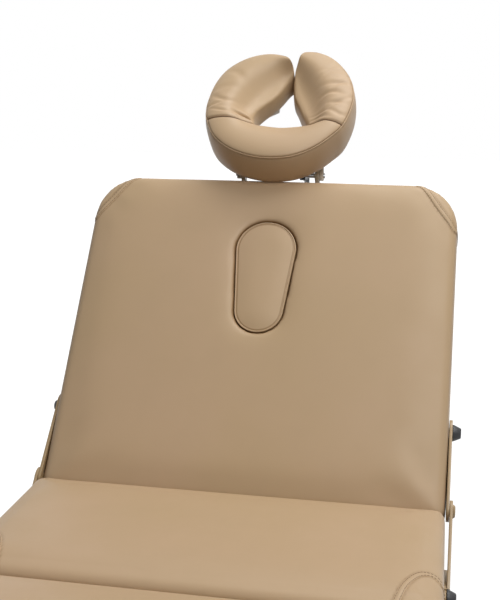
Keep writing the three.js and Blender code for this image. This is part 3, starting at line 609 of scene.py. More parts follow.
def fill(piece, held, cap, pressure):
    """Swells a cover by cloth simulation, with some points held and no point moved further than
    cap. held says for an array of points which are held."""
    before = points_of(piece)
    group = piece.vertex_groups.new(name="held")
    group.add([int(i) for i in np.flatnonzero(held(before))], 1.0, "REPLACE")
    cloth = piece.modifiers.new("Filling", "CLOTH")
    settings = cloth.settings
    settings.quality = 4
    settings.mass = 0.3
    settings.use_pressure = True
    settings.uniform_pressure_force = pressure
    settings.vertex_group_mass = "held"
    settings.effector_weights.gravity = 0
    cloth.point_cache.frame_end = FILLING_FRAMES
    scene = bpy.context.scene
    for number in range(1, FILLING_FRAMES + 1):
        scene.frame_set(number)
    after = points_of(piece.evaluated_get(bpy.context.evaluated_depsgraph_get()))
    piece.modifiers.clear()
    piece.vertex_groups.clear()
    scene.frame_set(1)
    move = after - before
    reach = np.linalg.norm(move, axis=1)
    share = np.minimum(1.0, cap / np.maximum(reach, 1e-9))
    move = even_out(piece, move * share[:, None], EVEN_ROUNDS)
    set_points(piece, before + move)


def even_out(piece, values, rounds):
    """Averages values over a mesh's neighbouring points, a number of times."""
    edges = np.empty(len(piece.data.edges) * 2, np.int32)
    piece.data.edges.foreach_get("vertices", edges)
    a, b = edges.reshape(-1, 2).T
    count = np.bincount(edges, minlength=len(values))[:, None]
    for _ in range(rounds):
        total = np.zeros_like(values)
        np.add.at(total, a, values[b])
        np.add.at(total, b, values[a])
        values = 0.5 * values + 0.5 * total / np.maximum(count, 1)
    return values


def subdivide(piece):
    """One smooth subdivision, applied."""
    finer = piece.modifiers.new("Finer", "SUBSURF")
    finer.levels = 1
    finer.render_levels = 1
    apply_modifiers(piece)


def paint_crease_shade(piece, shares):
    """Adds to the mask of painted shade in creases and seams."""
    layer = piece.data.attributes.get("crease_shade")
    if layer is None:
        layer = piece.data.attributes.new("crease_shade", "FLOAT", "POINT")
    values = np.zeros(len(piece.data.vertices), np.float32)
    layer.data.foreach_get("value", values)
    layer.data.foreach_set("value", np.maximum(values, shares).astype(np.float32))


def press(piece, path, depth, width, dark):
    """Presses a groove into a mesh along a path, and paints shade into it."""
    near = KDTree(len(path))
    for i, point in enumerate(path):
        near.insert(Vector(point), i)
    near.balance()
    points = points_of(piece)
    gaps = np.array([near.find(Vector(p))[2] for p in points])
    share = np.exp(-(gaps / width) ** 2)
    set_points(piece, points - normals_of(piece) * (share * depth)[:, None])
    # Painted shade along the groove.
    paint_crease_shade(piece, share * dark)


FLAT_WITHIN = 3 * MM


def drop_underside(piece, plan, bottom, hem):
    """Opens the underside inside its hem, where the board shows."""
    half, low, high = plan[:3]
    mesh = bmesh.new()
    mesh.from_mesh(piece.data)
    gone = []
    for face in mesh.faces:
        x, y, z = face.calc_center_median()
        inside = min(half - abs(x), y - low, high - y) > hem
        if inside and z < bottom + FLAT_WITHIN and face.normal.z < -0.7:
            gone.append(face)
    bmesh.ops.delete(mesh, geom=gone, context="FACES")
    mesh.to_mesh(piece.data)
    mesh.free()


def settle(piece, place, body, nodes):
    """Moves a finished piece into the bed's frame and fixes it to what it rides on."""
    piece.data.transform(place)
    piece.data.update()
    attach(piece, body)
    if nodes:
        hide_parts(*nodes)


PATH_STEP = 3 * MM


def surface_path(tree, path, lift=0.0):
    """A path laid on a surface, with the surface's normals: two arrays."""
    points, normals = [], []
    for point in path:
        hit, normal = tree.find_nearest(Vector(point))[:2]
        points.append(hit + normal * lift)
        normals.append(normal)
    return np.array(points), np.array(normals)


def smooth_rows(rows, rounds=2):
    """Evens out a list of vectors along a path."""
    rows = np.array(rows, float)
    for _ in range(rounds):
        inner = (rows[:-2] + 2 * rows[1:-1] + rows[2:]) / 4
        rows = np.vstack([rows[:1], inner, rows[-1:]])
    return rows


def sideways(tree, path):
    """A path laid evenly on a surface, and the sideways direction over it at each point."""
    points, normals = surface_path(tree, evenly(path, PATH_STEP))
    points = smooth_rows(points)
    along = np.gradient(points, axis=0)
    along /= np.linalg.norm(along, axis=1)[:, None]
    side = np.cross(smooth_rows(normals, 3), along)
    return points, side / np.linalg.norm(side, axis=1)[:, None]


def strip(name, tree, path, section):
    """A raised strip along a path on a surface. section is (sideways, height) across it."""
    points, side = sideways(tree, path)
    rows, count = [], len(section)
    for centre, across in zip(points, side):
        for offset, height in section:
            hit, normal = tree.find_nearest(Vector(centre + across * offset))[:2]
            rows.append(hit + normal * height)
    faces = []
    for i in range(len(points) - 1):
        for k in range(count - 1):
            a = i * count + k
            faces.append((a, a + count, a + count + 1, a + 1))
    faces.append(tuple(range(count)))
    faces.append(tuple(reversed(range((len(points) - 1) * count, len(points) * count))))
    made = object_of(name, rows, faces, "vinyl")
    recalculate(made)
    return made


def recalculate(piece):
    """Turns every face outwards."""
    mesh = bmesh.new()
    mesh.from_mesh(piece.data)
    bmesh.ops.recalc_face_normals(mesh, faces=mesh.faces)
    mesh.to_mesh(piece.data)
    mesh.free()


CORD_SIDES = 8


def cord_mesh(points, radius, sides, closed=False):
    """Points and faces of a round cord along a path."""
    points = np.array(points, float)
    if closed:
        along = np.roll(points, -1, 0) - np.roll(points, 1, 0)
    else:
        along = np.gradient(points, axis=0)
    along /= np.linalg.norm(along, axis=1)[:, None]
    guide = np.array((0.0, 0.0, 1.0)) if abs(along[0][2]) < 0.9 else np.array((1.0, 0.0, 0.0))
    rows = []
    for point, forward in zip(points, along):
        side = np.cross(guide, forward)
        side /= np.linalg.norm(side)
        guide = np.cross(forward, side)
        for k in range(sides):
            angle = 2 * math.pi * k / sides
            rows.append(point + radius * (side * math.cos(angle) + guide * math.sin(angle)))
    return rows, loop_faces(len(points), sides, closed)


def cord(name, points, radius, slot, closed=False):
    """A round cord along a path."""
    made = object_of(name, *cord_mesh(points, radius, CORD_SIDES, closed), slot)
    recalculate(made)
    return made


THREAD = 0.35 * MM        # radius of the sewing thread
THREAD_SIDES = 5
STITCH_PITCH = 1.35       # distance between stitches, as a share of a stitch
STITCH_GAP = 0.13         # share of that distance which is left bare at each end
STITCH_DIP = 0.2 * MM     # how deep a stitch's ends go into the cover


def stitching(name, tree, paths, stitch):
    """Rows of stitches on a surface, each a short bowed thread."""
    rows, faces = [], []
    for path in paths:
        path = evenly(path, stitch * STITCH_PITCH)
        points, normals = surface_path(tree, path)
        for a, b, up in zip(points, points[1:], normals):
            a, b = a + (b - a) * STITCH_GAP, b - (b - a) * STITCH_GAP
            bowed = [a - up * STITCH_DIP, a * 0.75 + b * 0.25 + up * THREAD,
                     a * 0.25 + b * 0.75 + up * THREAD, b - up * STITCH_DIP]
            piece_rows, piece_faces = cord_mesh(bowed, THREAD, THREAD_SIDES)
            start = len(rows)
            rows += list(piece_rows)
            faces += [tuple(start + i for i in face) for face in piece_faces]
    return object_of(name, rows, faces, "thread")


# A seam that is lapped and sewn down: a raised band between its two rows of stitches. Each point
# is (distance from the middle, height), for one half of it.
LAPPED_HALF = np.array([(5.2, -0.6), (4.9, 0.5), (4.0, 0.55), (3.2, 0.45), (1.5, 1.1)]) * MM
LAPPED = [(-x, z) for x, z in LAPPED_HALF] + [(x, z) for x, z in LAPPED_HALF[::-1]]
LAPPED_ROWS = 3.6 * MM    # the stitches' distance from the seam's middle
GROOVE_AT = 5.6 * MM      # the distance of the grooves beside it
# The grooves beside it: their depth, width and how much painted shade is put in them.
GROOVE_PRESS_AND_SHADE = {"depth": 0.5 * MM, "width": 1.9 * MM, "dark": 0.6}


def offset_path(tree, path, distance):
    """A path on a surface moved sideways over it."""
    points, side = sideways(tree, path)
    return points + side * distance


def lapped_seam(name, pad, path, place, body, stitch):
    """A lapped seam over a corner of a pad: its band, its stitches and the grooves with painted shade beside it.
    """
    tree = tree_of(pad)
    band = strip(f"{name}_band", tree, path, LAPPED)
    over = tree_of(band)
    rows = [offset_path(tree, path, side * LAPPED_ROWS) for side in (-1, 1)]
    sewn = stitching(f"{name}_stitches", over, rows, stitch)
    for side in (-1, 1):
        # Grooves with painted shade along both sides of the seam.
        press(pad, offset_path(tree, path, side * GROOVE_AT), **GROOVE_PRESS_AND_SHADE)
    settle(band, place, body, [])
    settle(sewn, place, body, [])


# ---- Sections --------------------------------------------------------------------------------


def section_plan(node, place, near, far):
    """(half width, low, high, near, far) of a pad, and its lowest and highest point."""
    low, high = local_box(node, place)
    return (high.x, low.y, high.y, near, far), low.z, high.z


# How far the covers stand proud of the frame's solids, for the steel arms beside them.
PROUD_SIDE = 0.7 * MM
PROUD_TOP = 2.5 * MM
HELD_AT_HOLE = 9 * MM     # width of cover round the breathing hole that the filling can't move


def plug_gap(points):
    """Distance of points from the plug's outline, less than 0 inside it."""
    head, foot = PLUG["head_at"], PLUG["foot_at"]
    share = np.clip((points[:, 1] - foot) / (head - foot), 0, 1)
    radius = PLUG["foot"] + (PLUG["head"] - PLUG["foot"]) * share
    middle = foot + (head - foot) * share
    return np.hypot(points[:, 0], points[:, 1] - middle) - radius


def make_pad(name, node, place, near, far, ends, settings, hole_edge=None):
    """The common part of the three flat sections: shape, filling and a finer mesh. ends says how
    far the pad stands proud of its solid at its low and high end."""
    plan, bottom, top = section_plan(node, place, near, far)
    start = (plan[0] + PROUD_SIDE, plan[1] - ends[0], plan[2] + ends[1], near, far)
    pad = pad_solid(name, start, bottom, top + PROUD_TOP, settings, hole_edge)
    remesh(pad, settings.voxel, 2)
    shoulder = top - settings.fall - settings.edge

    def held(points):
        fixed = points[:, 2] < shoulder
        if hole_edge:
            fixed |= plug_gap(points) < HELD_AT_HOLE
        return fixed

    fill(pad, held, settings.crown, settings.pressure)
    subdivide(pad)
    return pad, plan, bottom, top


HEAD_CORNER = 88 * MM
PLAIN_CORNER = 16 * MM
FOOT_CORNER = 64 * MM
SEAM_FOOT = 20 * MM       # height above a pad's foot at which its corner seams end
# The seam across each upper corner of the backrest: an arc, and its angles in degrees.
CORNER_ARC = {"x": 588 * MM, "y": 750 * MM, "radius": 333 * MM, "from": 200.4, "to": 224.4}
# Painted shade in the groove round the breathing hole's plug: its reach from the hole's edge, its width and how
# dark it is.
HOLE_SHADE = {"reach": 1 * MM, "width": 2.6 * MM, "dark": 0.95}
# The seam over each front corner of the seat: millimetres from its side and its front edge.
SEAT_ARCH = [(-67, -3), (-60, 28), (-49, 62), (-37, 84), (-26, 93), (-15, 94), (-6, 91), (0, 86)]


def build_back(settings):
    """The backrest's pad, with a lapped seam across each upper corner and painted shade round the breathing hole.
    """
    pad, plan, bottom, top = make_pad(
        "back_pad", "back_cover", BACK, PLAIN_CORNER, HEAD_CORNER, (0, 4 * MM), settings,
        settings.hole_edge)
    # Painted shade in the groove round the breathing hole.
    gap = np.maximum(plug_gap(points_of(pad)) - HOLE_SHADE["reach"], 0)
    paint_crease_shade(pad, HOLE_SHADE["dark"] * np.exp(-(gap / HOLE_SHADE["width"]) ** 2))
    angles = np.radians(np.linspace(CORNER_ARC["from"], CORNER_ARC["to"], 30))
    across = CORNER_ARC["x"] + CORNER_ARC["radius"] * np.cos(angles)
    along = CORNER_ARC["y"] + CORNER_ARC["radius"] * np.sin(angles)
    for hand, side in (("left", -1), ("right", 1)):
        path = [(side * x, y, top) for x, y in zip(across, along)]
        path = down_the_side(path, bottom + SEAM_FOOT)
        lapped_seam(f"back_corner_seam_{hand}", pad, path, BACK, "backrest", settings.stitch)
    drop_underside(pad, plan, bottom, settings.hem)
    settle(pad, BACK, "backrest", ["back_cover", "back_foam"])


def down_the_side(path, foot):
    """Takes both ends of a path on a pad's top straight down its sides."""
    first, last = path[0], path[-1]
    steps = np.linspace(0, 1, 12)[1:]
    head = [(first[0], first[1], first[2] + (foot - first[2]) * t) for t in steps[::-1]]
    tail = [(last[0], last[1], last[2] + (foot - last[2]) * t) for t in steps]
    return head + list(path) + tail


def build_seat(settings):
    """The seat's pad, with an arched corner seam at each front corner."""
    pad, plan, bottom, top = make_pad(
        "seat_pad", "seat_cover", FLAT, PLAIN_CORNER, PLAIN_CORNER, (1 * MM, 0), settings)
    half, front = plan[0], plan[1]
    for hand, side in (("left", -1), ("right", 1)):
        path = [(side * (half + x * MM), front + y * MM, top) for x, y in SEAT_ARCH]
        path = down_the_side(list(curve_through(path, 40)), bottom + SEAM_FOOT)
        lapped_seam(f"seat_corner_seam_{hand}", pad, path, FLAT, "lift", settings.stitch)
    drop_underside(pad, plan, bottom, settings.hem)
    settle(pad, FLAT, "lift", ["seat_cover", "seat_foam"])


def build_leg(settings):
    """The leg rest's pad."""
    pad, plan, bottom, top = make_pad(
        "leg_pad", "leg_cover", FLAT, FOOT_CORNER, PLAIN_CORNER, (1 * MM, 0), settings)
    drop_underside(pad, plan, bottom, settings.hem)
    settle(pad, FLAT, "leg_rest", ["leg_cover", "leg_foam"])


PLUG_ROUNDING = 7 * MM
PLUG_CROWN = 3.5 * MM     # how much higher the plug is in its middle
PLUG_SIDE = 0.6 * MM      # how far its side is inside the breathing hole, and its foot
PLUG_FOOT = 1.5 * MM
PLUG_FOOT_HEIGHT = 6 * MM
PLUG_MIDDLE = 44 * MM     # the inset at which its top is highest, and the crown's width
PLUG_CROWN_REACH = 36 * MM
PLUG_INSETS = np.array((9.5, 12, 15, 19, 24, 30, 37, 44)) * MM
PLUG_SHADE = {"from": 2.5 * MM, "over": 4 * MM, "dark": 0.98}    # painted shade down its side, darker further down
# A line of painted shade along the plug's seam.
PLUG_SEAM_SHADE = {"inset": 5.4 * MM, "width": 1.1 * MM, "dark": 0.8}
PLUG_SEAM_SHADE_FROM = 20 * MM  # the seam's line of painted shade shows only above this height
PLUG_PIPING = {"inset": 2.6 * MM, "drop": 1.4 * MM, "radius": 1.6 * MM}


def build_plug(settings):
    """The breathing hole's plug: a crowned pad with a sewn edge, painted shade down its side and a line of painted
    shade along its seam.
    """
    low, high = local_box("plug_pad", BACK)
    levels = [(PLUG_FOOT, low.z), (PLUG_SIDE, low.z + PLUG_FOOT_HEIGHT),
              (PLUG_SIDE, high.z - PLUG_ROUNDING)]
    for angle in ROUNDING_ANGLES:
        levels.append((PLUG_SIDE + PLUG_ROUNDING * (1 - math.cos(angle)),
                       high.z - PLUG_ROUNDING * (1 - math.sin(angle))))
    for inset in PLUG_INSETS:
        rise = PLUG_CROWN * (1 - ((PLUG_MIDDLE - inset) / PLUG_CROWN_REACH) ** 2)
        levels.append((inset, high.z + rise))
    rows = [(x, y, z) for inset, z in levels for x, y in plug_outline(-inset)]
    faces = loop_faces(len(levels), len(plug_outline(0)))
    pad = object_of("plug_cushion", rows, faces, "vinyl")
    recalculate(pad)
    points = points_of(pad)
    # Painted shade down the plug's side, darker further down.
    depth = high.z - points[:, 2] - PLUG_SHADE["from"]
    paint_crease_shade(pad, np.clip(depth / PLUG_SHADE["over"], 0, PLUG_SHADE["dark"]))
    # A line of painted shade along the plug's seam.
    line = np.abs(plug_gap(points) + PLUG_SEAM_SHADE["inset"]) / PLUG_SEAM_SHADE["width"]
    shares = PLUG_SEAM_SHADE["dark"] * np.exp(-line ** 2)
    paint_crease_shade(pad, np.where(points[:, 2] > low.z + PLUG_SEAM_SHADE_FROM, shares, 0))
    edge = plug_outline(-PLUG_PIPING["inset"])
    piping = [(x, y, high.z - PLUG_PIPING["drop"]) for x, y in edge]
    trim = cord("plug_piping", piping, PLUG_PIPING["radius"], "vinyl", closed=True)
    settle(pad, BACK, "plug", ["plug_pad"])
    settle(trim, BACK, "plug", [])


# ---- Face cradle -----------------------------------------------------------------------------

# (outer x, outer y, inner x, inner y, inner rim's drop) of the cushion's stations in millimetres,
# from the left arm's tip round the closed end to the right arm's tip, about the tilt axis.
CUSHION_STATIONS = [
    (6, 214, 11, 205, 10), (-12, 231, 8, 199, 18), (-48, 240, -3, 184, 26),
    (-90, 227, -16, 159, 29), (-125, 192, -30, 137, 30), (-143, 146, -45, 117, 29),
    (-149, 95, -58, 94, 26), (-148, 66, -60, 70, 20), (-143, 42, -47, 46, 12),
    (-122, -3, -40, 41, 8), (-85, -37, -26, 39, 6), (-43, -55, -9, 37, 6), (0, -60, 6, 36, 6),
    (42, -52, 21, 37, 6), (80, -28, 36, 39, 7), (110, 6, 49, 41, 9), (126, 32, 56, 47, 13),
    (137, 75, 52, 66, 20), (140, 118, 42, 94, 26), (130, 163, 33, 118, 28),
    (110, 201, 23, 140, 28), (84, 231, 17, 161, 26), (57, 246, 13, 181, 20),
    (34, 246, 12, 201, 12), (22, 238, 14, 220, 6),
]
CROSS_SEAMS = {"left": 8, "right": 16}

# Across the cushion: (share of the width, height above the foot in mm, outward bulge in mm),
# from the foot of the outer wall over the top to the foot of the inner wall.
CUSHION_SECTION = [
    (0.06, 0, 0), (0.02, 1, 0), (0.0, 4, 0), (0.0, 10, 1.2), (0.0, 20, 2.6), (0.0, 32, 3.4),
    (0.0, 44, 3.2), (0.0, 54, 2.2), (0.0, 62, 0.8), (0.0, 65.5, -0.4), (0.0, 67, -1.6),
    (0.0, 68.3, -1.2), (0.02, 70.2, 0), (0.06, 72.4, 0), (0.11, 74.4, 0), (0.18, 76.4, 0),
    (0.27, 77.8, 0), (0.37, 78.2, 0), (0.48, 77.8, 0), (0.59, 76.6, 0), (0.7, 74.8, 0),
    (0.79, 72.6, 0), (0.87, 69.6, 0), (0.93, 66, 0), (0.97, 62, 0), (0.995, 56, 0),
    (1.03, 48, 0), (1.05, 38, 0), (1.065, 26, 0), (1.07, 14, 0), (1.065, 6, 0), (1.045, 1.5, 0),
    (1.0, 0, 0),
]
SEAM_ROW = 10             # the row of the section with the piped seam between side and top
STATION_STEPS = 9         # rows of points from one station to the next
STATION_LENGTH = 36.0     # about how far apart the stations are, in millimetres
CROSS_GROOVE = {"width": 3.2, "depth": 2.6 * MM}
# The cross seams' pressed groove, with painted shade in it.
CROSS_PRESS_AND_SHADE = {"depth": 1.2 * MM, "width": 3.0 * MM, "dark": 0.8}
CROSS_ENDS_BEFORE = 6     # rows at the inner wall's foot that the cross seams leave out
# The piped seam's pressed groove, with painted shade in it.
EDGE_PRESS_AND_SHADE = {"depth": 1.0 * MM, "width": 2.6 * MM, "dark": 0.55}
EDGE_PIPING = 1.3 * MM
EDGE_ENDS = 4             # rows at each tip that the piped seam leaves out

# Puckers on the arms: (station, share of the width, length in mm, width in mm, depth in mm).
PUCKERS = [
    (16.45, 0.72, 16, 5.0, 6.0), (16.75, 0.32, 24, 4.0, 5.5), (17.2, 0.50, 26, 4.5, 8.0),
    (17.65, 0.26, 26, 4.0, 6.0), (18.1, 0.42, 24, 4.5, 8.0), (18.55, 0.24, 26, 4.0, 6.0),
    (19.05, 0.34, 22, 4.5, 6.5), (19.6, 0.22, 22, 4.2, 4.8), (20.3, 0.28, 20, 5.0, 3.0),
    (5.2, 0.26, 18, 6.0, 3.0), (5.9, 0.34, 20, 5.2, 4.8), (6.5, 0.22, 18, 4.6, 4.4),
    (7.1, 0.34, 18, 4.6, 4.0), (7.3, 0.85, 14, 6.5, 19.0), (4.3, 0.30, 22, 8.0, 2.4),
]
PUCKER_SWAY = 8.0         # how far a pucker bends from a straight line, in millimetres
PUCKER_RISE = 0.45        # height of the swelling beside a pucker, and how much wider it is

# The inner rim falls between these shares of the width, and from this height upwards.
RIM_FALLS = (0.46, 0.92)
RIM_FROM = (40.0, 75.0)
TIP_LEAST = 0.15          # how much of its width a tip keeps at its very end
TIP_MIDDLE = 36 * MM      # the height that a tip is rounded towards


def rim_share(share):
    """How much of the inner rim's drop applies at a share of the width."""
    low, high = RIM_FALLS
    t = min(max((share - low) / (high - low), 0.0), 1.0)
    return t * t * (3 - 2 * t)


def cushion_shape():
    """Rows of points of the cushion, station by station, and each station's number."""
    last = len(CUSHION_STATIONS) - 1
    numbers = np.linspace(0, last, last * STATION_STEPS + 1)
    stations = curve_through(CUSHION_STATIONS, len(numbers))
    foot = local_box("cradle_cushion", CRADLE)[0].z
    rows = []
    for number, (ox, oy, ix, iy, drop) in zip(numbers, stations):
        outer = np.array((ox, oy)) * MM
        inner = np.array((ix, iy)) * MM
        out = (outer - inner) / np.linalg.norm(outer - inner)
        rows.append([cushion_point(outer, inner, out, drop, number, foot, *cell)
                     for cell in CUSHION_SECTION])
    return np.array(rows), numbers


def cushion_point(outer, inner, out, drop, number, foot, share, height, bulge):
    """One point of the cushion's section."""
    width = np.linalg.norm(inner - outer)
    flat = outer + (inner - outer) * share + out * bulge * MM
    top = min(max((height - RIM_FROM[0]) / (RIM_FROM[1] - RIM_FROM[0]), 0.0), 1.0)
    z = height * MM - drop * MM * rim_share(share) * top
    if height > 60 and 0.0 < share < 1.0:
        z -= pucker_depth(number, share, width)
    ends = min(number, len(CUSHION_STATIONS) - 1 - number)
    if ends < 1.0:
        shrink = TIP_LEAST + (1 - TIP_LEAST) * math.sqrt(max(0.0, 1 - (1 - ends) ** 2))
        middle = (outer + inner) / 2
        flat = middle + (flat - middle) * shrink
        z = TIP_MIDDLE + (z - TIP_MIDDLE) * (0.35 + 0.65 * shrink)
    return flat[0], flat[1], foot + z


def pucker_depth(number, share, width):
    """Depth of the puckers at a place on the cushion's top, in metres."""
    depth = 0.0
    for at, across, reach, thick, deep in PUCKERS:
        sway = PUCKER_SWAY * math.sin(at * 5.1 + share * 7.0)
        along = (number - at) * STATION_LENGTH - sway
        over = (share - across) * width / MM
        fade = math.exp(-((over / reach) ** 2))
        wave = along / thick
        swelling = PUCKER_RISE * math.exp(-(wave * PUCKER_RISE) ** 2)
        depth += deep * MM * fade * (math.exp(-wave * wave) - swelling)
    return depth


def build_cushion(settings):
    """The horseshoe cushion: a crowned band with a boxed side, seams with painted shade in their grooves, and
    puckered arms.
    """
    rows, numbers = cushion_shape()
    groove = np.zeros(len(numbers))
    for at in CROSS_SEAMS.values():
        beside = (numbers - at) * STATION_LENGTH / CROSS_GROOVE["width"]
        groove = np.maximum(groove, np.exp(-beside ** 2))
    for k, (share, height, _) in enumerate(CUSHION_SECTION):
        if height > 67 or (share > 0.9 and height > 20):
            rows[:, k, 2] -= groove * CROSS_GROOVE["depth"]
    flat = rows.reshape(-1, 3)
    faces = loop_faces(len(rows), len(CUSHION_SECTION))
    cushion = object_of("face_cushion", flat, faces, "vinyl")
    recalculate(cushion)
    subdivide(cushion)
    tree = tree_of(cushion)
    top_rows = [k for k, cell in enumerate(CUSHION_SECTION) if cell[1] > 66 or cell[0] > 0.9]
    cords = []
    for hand, at in CROSS_SEAMS.items():
        path = rows[at * STATION_STEPS][top_rows[:-CROSS_ENDS_BEFORE]]
        points, _ = surface_path(tree, evenly(path, 2 * MM), -0.1 * MM)
        # The cross seam's groove, with painted shade in it.
        press(cushion, points, **CROSS_PRESS_AND_SHADE)
        # A thread-coloured cord sunk in the groove: partly the seam's thread, partly a dark line of painted shade.
        cords.append(cord(f"cushion_cross_seam_thread_and_shade_{hand}", points, settings.seam * 0.8, "thread"))
    rim = evenly(rows[EDGE_ENDS:-EDGE_ENDS, SEAM_ROW], PATH_STEP)
    points, _ = surface_path(tree, rim, 0.5 * MM)
    piping = cord("cushion_edge_seam", smooth_rows(points), EDGE_PIPING, "vinyl")
    # The piped seam's groove, with painted shade in it.
    press(cushion, points, **EDGE_PRESS_AND_SHADE)
    for made in cords:
        settle(made, CRADLE, "cradle_head", [])
    settle(piping, CRADLE, "cradle_head", [])
    settle(cushion, CRADLE, "cradle_head", ["cradle_cushion"])


# ---- Frame, plastic and rubber ---------------------------------------------------------------


BESIDE_PADS = ("back_arm", "seat_rail", "hinge_pin")   # painted beige as the pads are; its darkness is partly painted shade
EDGE_WIDTH = 0.7 * MM
EDGE_ANGLE = math.radians(36)


def finish_node(node, slot):
    """Gives a carried-over part its material, soft edges and smooth shading."""
    piece = frame["nodes"][node]
    piece.data.materials.clear()
    piece.data.materials.append(MATERIALS[slot])
    piece.data.shade_smooth()
    weld = piece.modifiers.new("Joined points", "WELD")
    weld.merge_threshold = 0.01 * MM
    edges = piece.modifiers.new("Soft edges", "BEVEL")
    edges.width = EDGE_WIDTH
    edges.segments = 2
    edges.limit_method = "ANGLE"
    edges.angle_limit = EDGE_ANGLE
    edges.harden_normals = True


# ---- Stage -----------------------------------------------------------------------------------


WHITE = (1.0, 1.0, 1.0, 1.0)
FLOOR_HALF = 14.0
FLOOR_WHITE = 1.16        # strength at which the camera sees the floor
FLOOR_TONE = 0.42         # how much light the floor gives back to the bed
# Distances from the bed's middle between which the floor stops showing its shadow, and how much
# of the floor's white is kept within them.
SHADOW_REACH = (0.9, 1.7)
SHADOW_WHITE = 0.68
# Name, place, point aimed at and size of each softbox, in metres.
OVERHEAD = ("overhead_softbox", (0.8, 0.85, 3.7), (0.0, 0.4, 0.9), (2.2, 1.6))
FRONT = ("front_softbox", (1.4, -1.7, 3.6), (0.0, 0.2, 0.8), (1.8, 1.4))


def floor_finish():
    """A floor that the camera and reflections see as white, and that keeps the bed's shadow."""
    g = Graph("pale_floor", 0.9)
    sight = g.seen()
    reach = g.add("ShaderNodeVectorMath", {"operation": "LENGTH"}, [g.place()], "Value")
    tone = (FLOOR_TONE, FLOOR_TONE, FLOOR_TONE, 1.0)
    g.finish(Base_Color=g.mix(sight, tone, WHITE))
    share = sight * g.ramp(reach, *SHADOW_REACH, SHADOW_WHITE, 1.0)
    white = g.add("ShaderNodeEmission", {}, {"Color": WHITE, "Strength": FLOOR_WHITE})
    lit = Value(g, g.shader.outputs[0])
    mixed = g.add("ShaderNodeMixShader", {}, {0: share, 1: lit, 2: white})
    g.feed(g.tree.nodes["Material Output"], "Surface", mixed)
    return g.material


def build_stage(settings):
    """Floor, lights, world and camera."""
    scene = bpy.context.scene
    square = [(x * FLOOR_HALF, y * FLOOR_HALF, 0) for x, y in ((-1, -1), (1, -1), (1, 1), (-1, 1))]
    floor = object_of("floor", square, [(0, 1, 2, 3)], "vinyl")
    floor.data.materials.clear()
    floor.data.materials.append(floor_finish())
    softbox(*OVERHEAD, settings.key)
    softbox(*FRONT, settings.fill)
    world = bpy.data.worlds.new("studio")
    world.use_nodes = True
    scene.world = world
    sky = Nodes(world.node_tree)
    sky.feed(sky.tree.nodes["Background"], "Color", WHITE)
    sky.feed(sky.tree.nodes["Background"], "Strength", sky.seen(settings.ambient))
    scene.view_settings.view_transform = "Standard"
    scene.camera = make_camera(settings)


def softbox(name, place, aim, size, power):
    """A rectangular area light aimed at a point."""
    data = bpy.data.lights.new(name, "AREA")
    data.shape = "RECTANGLE"
    data.size, data.size_y = size
    data.energy = power
    lamp = bpy.data.objects.new(name, data)
    lamp.location = place
    lamp.rotation_euler = (Vector(aim) - Vector(place)).to_track_quat("-Z", "Y").to_euler()
    bpy.context.scene.collection.objects.link(lamp)


def make_camera(settings):
    """The camera, from its yaw, pitch and roll."""
    data = bpy.data.cameras.new("camera")
    data.lens = settings.lens
    data.sensor_width = 36.0
    data.clip_end = 60.0
    camera = bpy.data.objects.new("camera", data)
    yaw, pitch, roll = settings.yaw, settings.pitch, settings.roll
    turn = Matrix.Rotation(yaw, 4, "Z") @ Matrix.Rotation(math.pi / 2 - pitch, 4, "X")
    turn = turn @ Matrix.Rotation(roll, 4, "Z")
    camera.matrix_world = Matrix.Translation(Vector(settings.eye)) @ turn
    bpy.context.scene.collection.objects.link(camera)
    return camera


# ---- Operators, panel and registration -------------------------------------------------------


class BED_OT_materials(bpy.types.Operator):
    """Build the materials from the colours in the settings"""

    bl_idname = "bed.materials"
    bl_label = "Materials"

    def execute(self, context):
        make_materials(context.scene.bed_finish)
        return {"FINISHED"}


class BED_OT_frame(bpy.types.Operator):
    """Finish the steel frame, column, springs, knobs, feet and boards"""

    bl_idname = "bed.frame"
    bl_label = "Frame and hardware"

    def execute(self, context):
        for row in frame["record"]["subparts"]:
            beside = row["node"].startswith(BESIDE_PADS)
            if row["material_slot"] in MATERIALS:
                finish_node(row["node"], "arm_paint" if beside else row["material_slot"])
        return {"FINISHED"}


class BED_OT_back(bpy.types.Operator):
    """Upholster the backrest"""

    bl_idname = "bed.back"
    bl_label = "Backrest pad"

    def execute(self, context):
        build_back(context.scene.bed_upholstery)
        return {"FINISHED"}


class BED_OT_seat(bpy.types.Operator):
    """Upholster the seat"""

    bl_idname = "bed.seat"
    bl_label = "Seat pad"

    def execute(self, context):
        build_seat(context.scene.bed_upholstery)
        return {"FINISHED"}


class BED_OT_leg(bpy.types.Operator):
    """Upholster the leg rest"""

    bl_idname = "bed.leg"
    bl_label = "Leg rest pad"

    def execute(self, context):
        build_leg(context.scene.bed_upholstery)
        return {"FINISHED"}


class BED_OT_plug(bpy.types.Operator):
    """Upholster the breathing hole's plug"""

    bl_idname = "bed.plug"
    bl_label = "Breathing-hole plug"

    def execute(self, context):
        build_plug(context.scene.bed_upholstery)
        return {"FINISHED"}


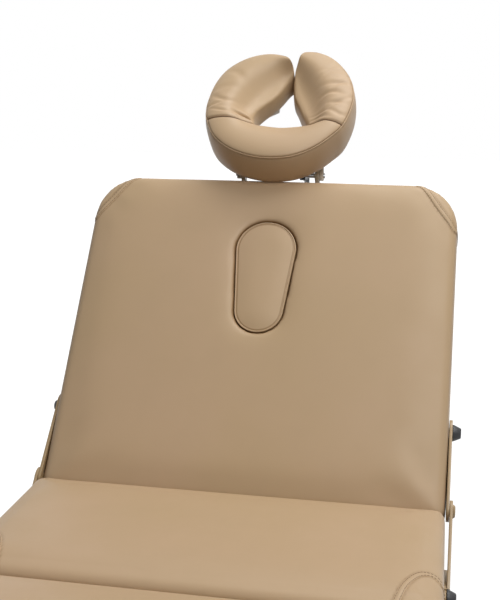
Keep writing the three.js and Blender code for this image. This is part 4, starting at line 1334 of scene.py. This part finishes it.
class BED_OT_cushion(bpy.types.Operator):
    """Upholster the face cradle's horseshoe cushion"""

    bl_idname = "bed.cushion"
    bl_label = "Face cushion"

    def execute(self, context):
        build_cushion(context.scene.bed_upholstery)
        return {"FINISHED"}


class BED_OT_stage(bpy.types.Operator):
    """Set up the floor, lights and camera"""

    bl_idname = "bed.stage"
    bl_label = "Stage"

    def execute(self, context):
        build_stage(context.scene.bed_stage)
        return {"FINISHED"}


OPERATORS = (
    BED_OT_materials, BED_OT_frame, BED_OT_back, BED_OT_seat, BED_OT_leg, BED_OT_plug,
    BED_OT_cushion, BED_OT_stage,
)


class BED_PT_panel(bpy.types.Panel):
    """Lists the bed's pieces in the sidebar"""

    bl_label = "Treatment bed"
    bl_space_type = "VIEW_3D"
    bl_region_type = "UI"
    bl_category = "Treatment bed"

    def draw(self, context):
        for operator in OPERATORS:
            self.layout.operator(operator.bl_idname)
        for group in ("bed_upholstery", "bed_finish", "bed_stage"):
            settings = getattr(context.scene, group)
            column = self.layout.column()
            for name in settings.__annotations__:
                column.prop(settings, name)


CLASSES = (UpholsterySettings, FinishSettings, StageSettings) + OPERATORS + (BED_PT_panel,)


def register():
    """Adds the settings, operators and panel."""
    for made in CLASSES:
        bpy.utils.register_class(made)
    bpy.types.Scene.bed_upholstery = bpy.props.PointerProperty(type=UpholsterySettings)
    bpy.types.Scene.bed_finish = bpy.props.PointerProperty(type=FinishSettings)
    bpy.types.Scene.bed_stage = bpy.props.PointerProperty(type=StageSettings)


def unregister():
    """Takes them away again."""
    del bpy.types.Scene.bed_stage
    del bpy.types.Scene.bed_finish
    del bpy.types.Scene.bed_upholstery
    for made in reversed(CLASSES):
        bpy.utils.unregister_class(made)


def main():
    """Builds the whole bed."""
    register()
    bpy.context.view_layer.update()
    bpy.ops.bed.materials()
    bpy.ops.bed.frame()
    bpy.ops.bed.back()
    bpy.ops.bed.seat()
    bpy.ops.bed.leg()
    bpy.ops.bed.plug()
    bpy.ops.bed.cushion()
    bpy.ops.bed.stage()


if __name__ == "__main__":
    main()
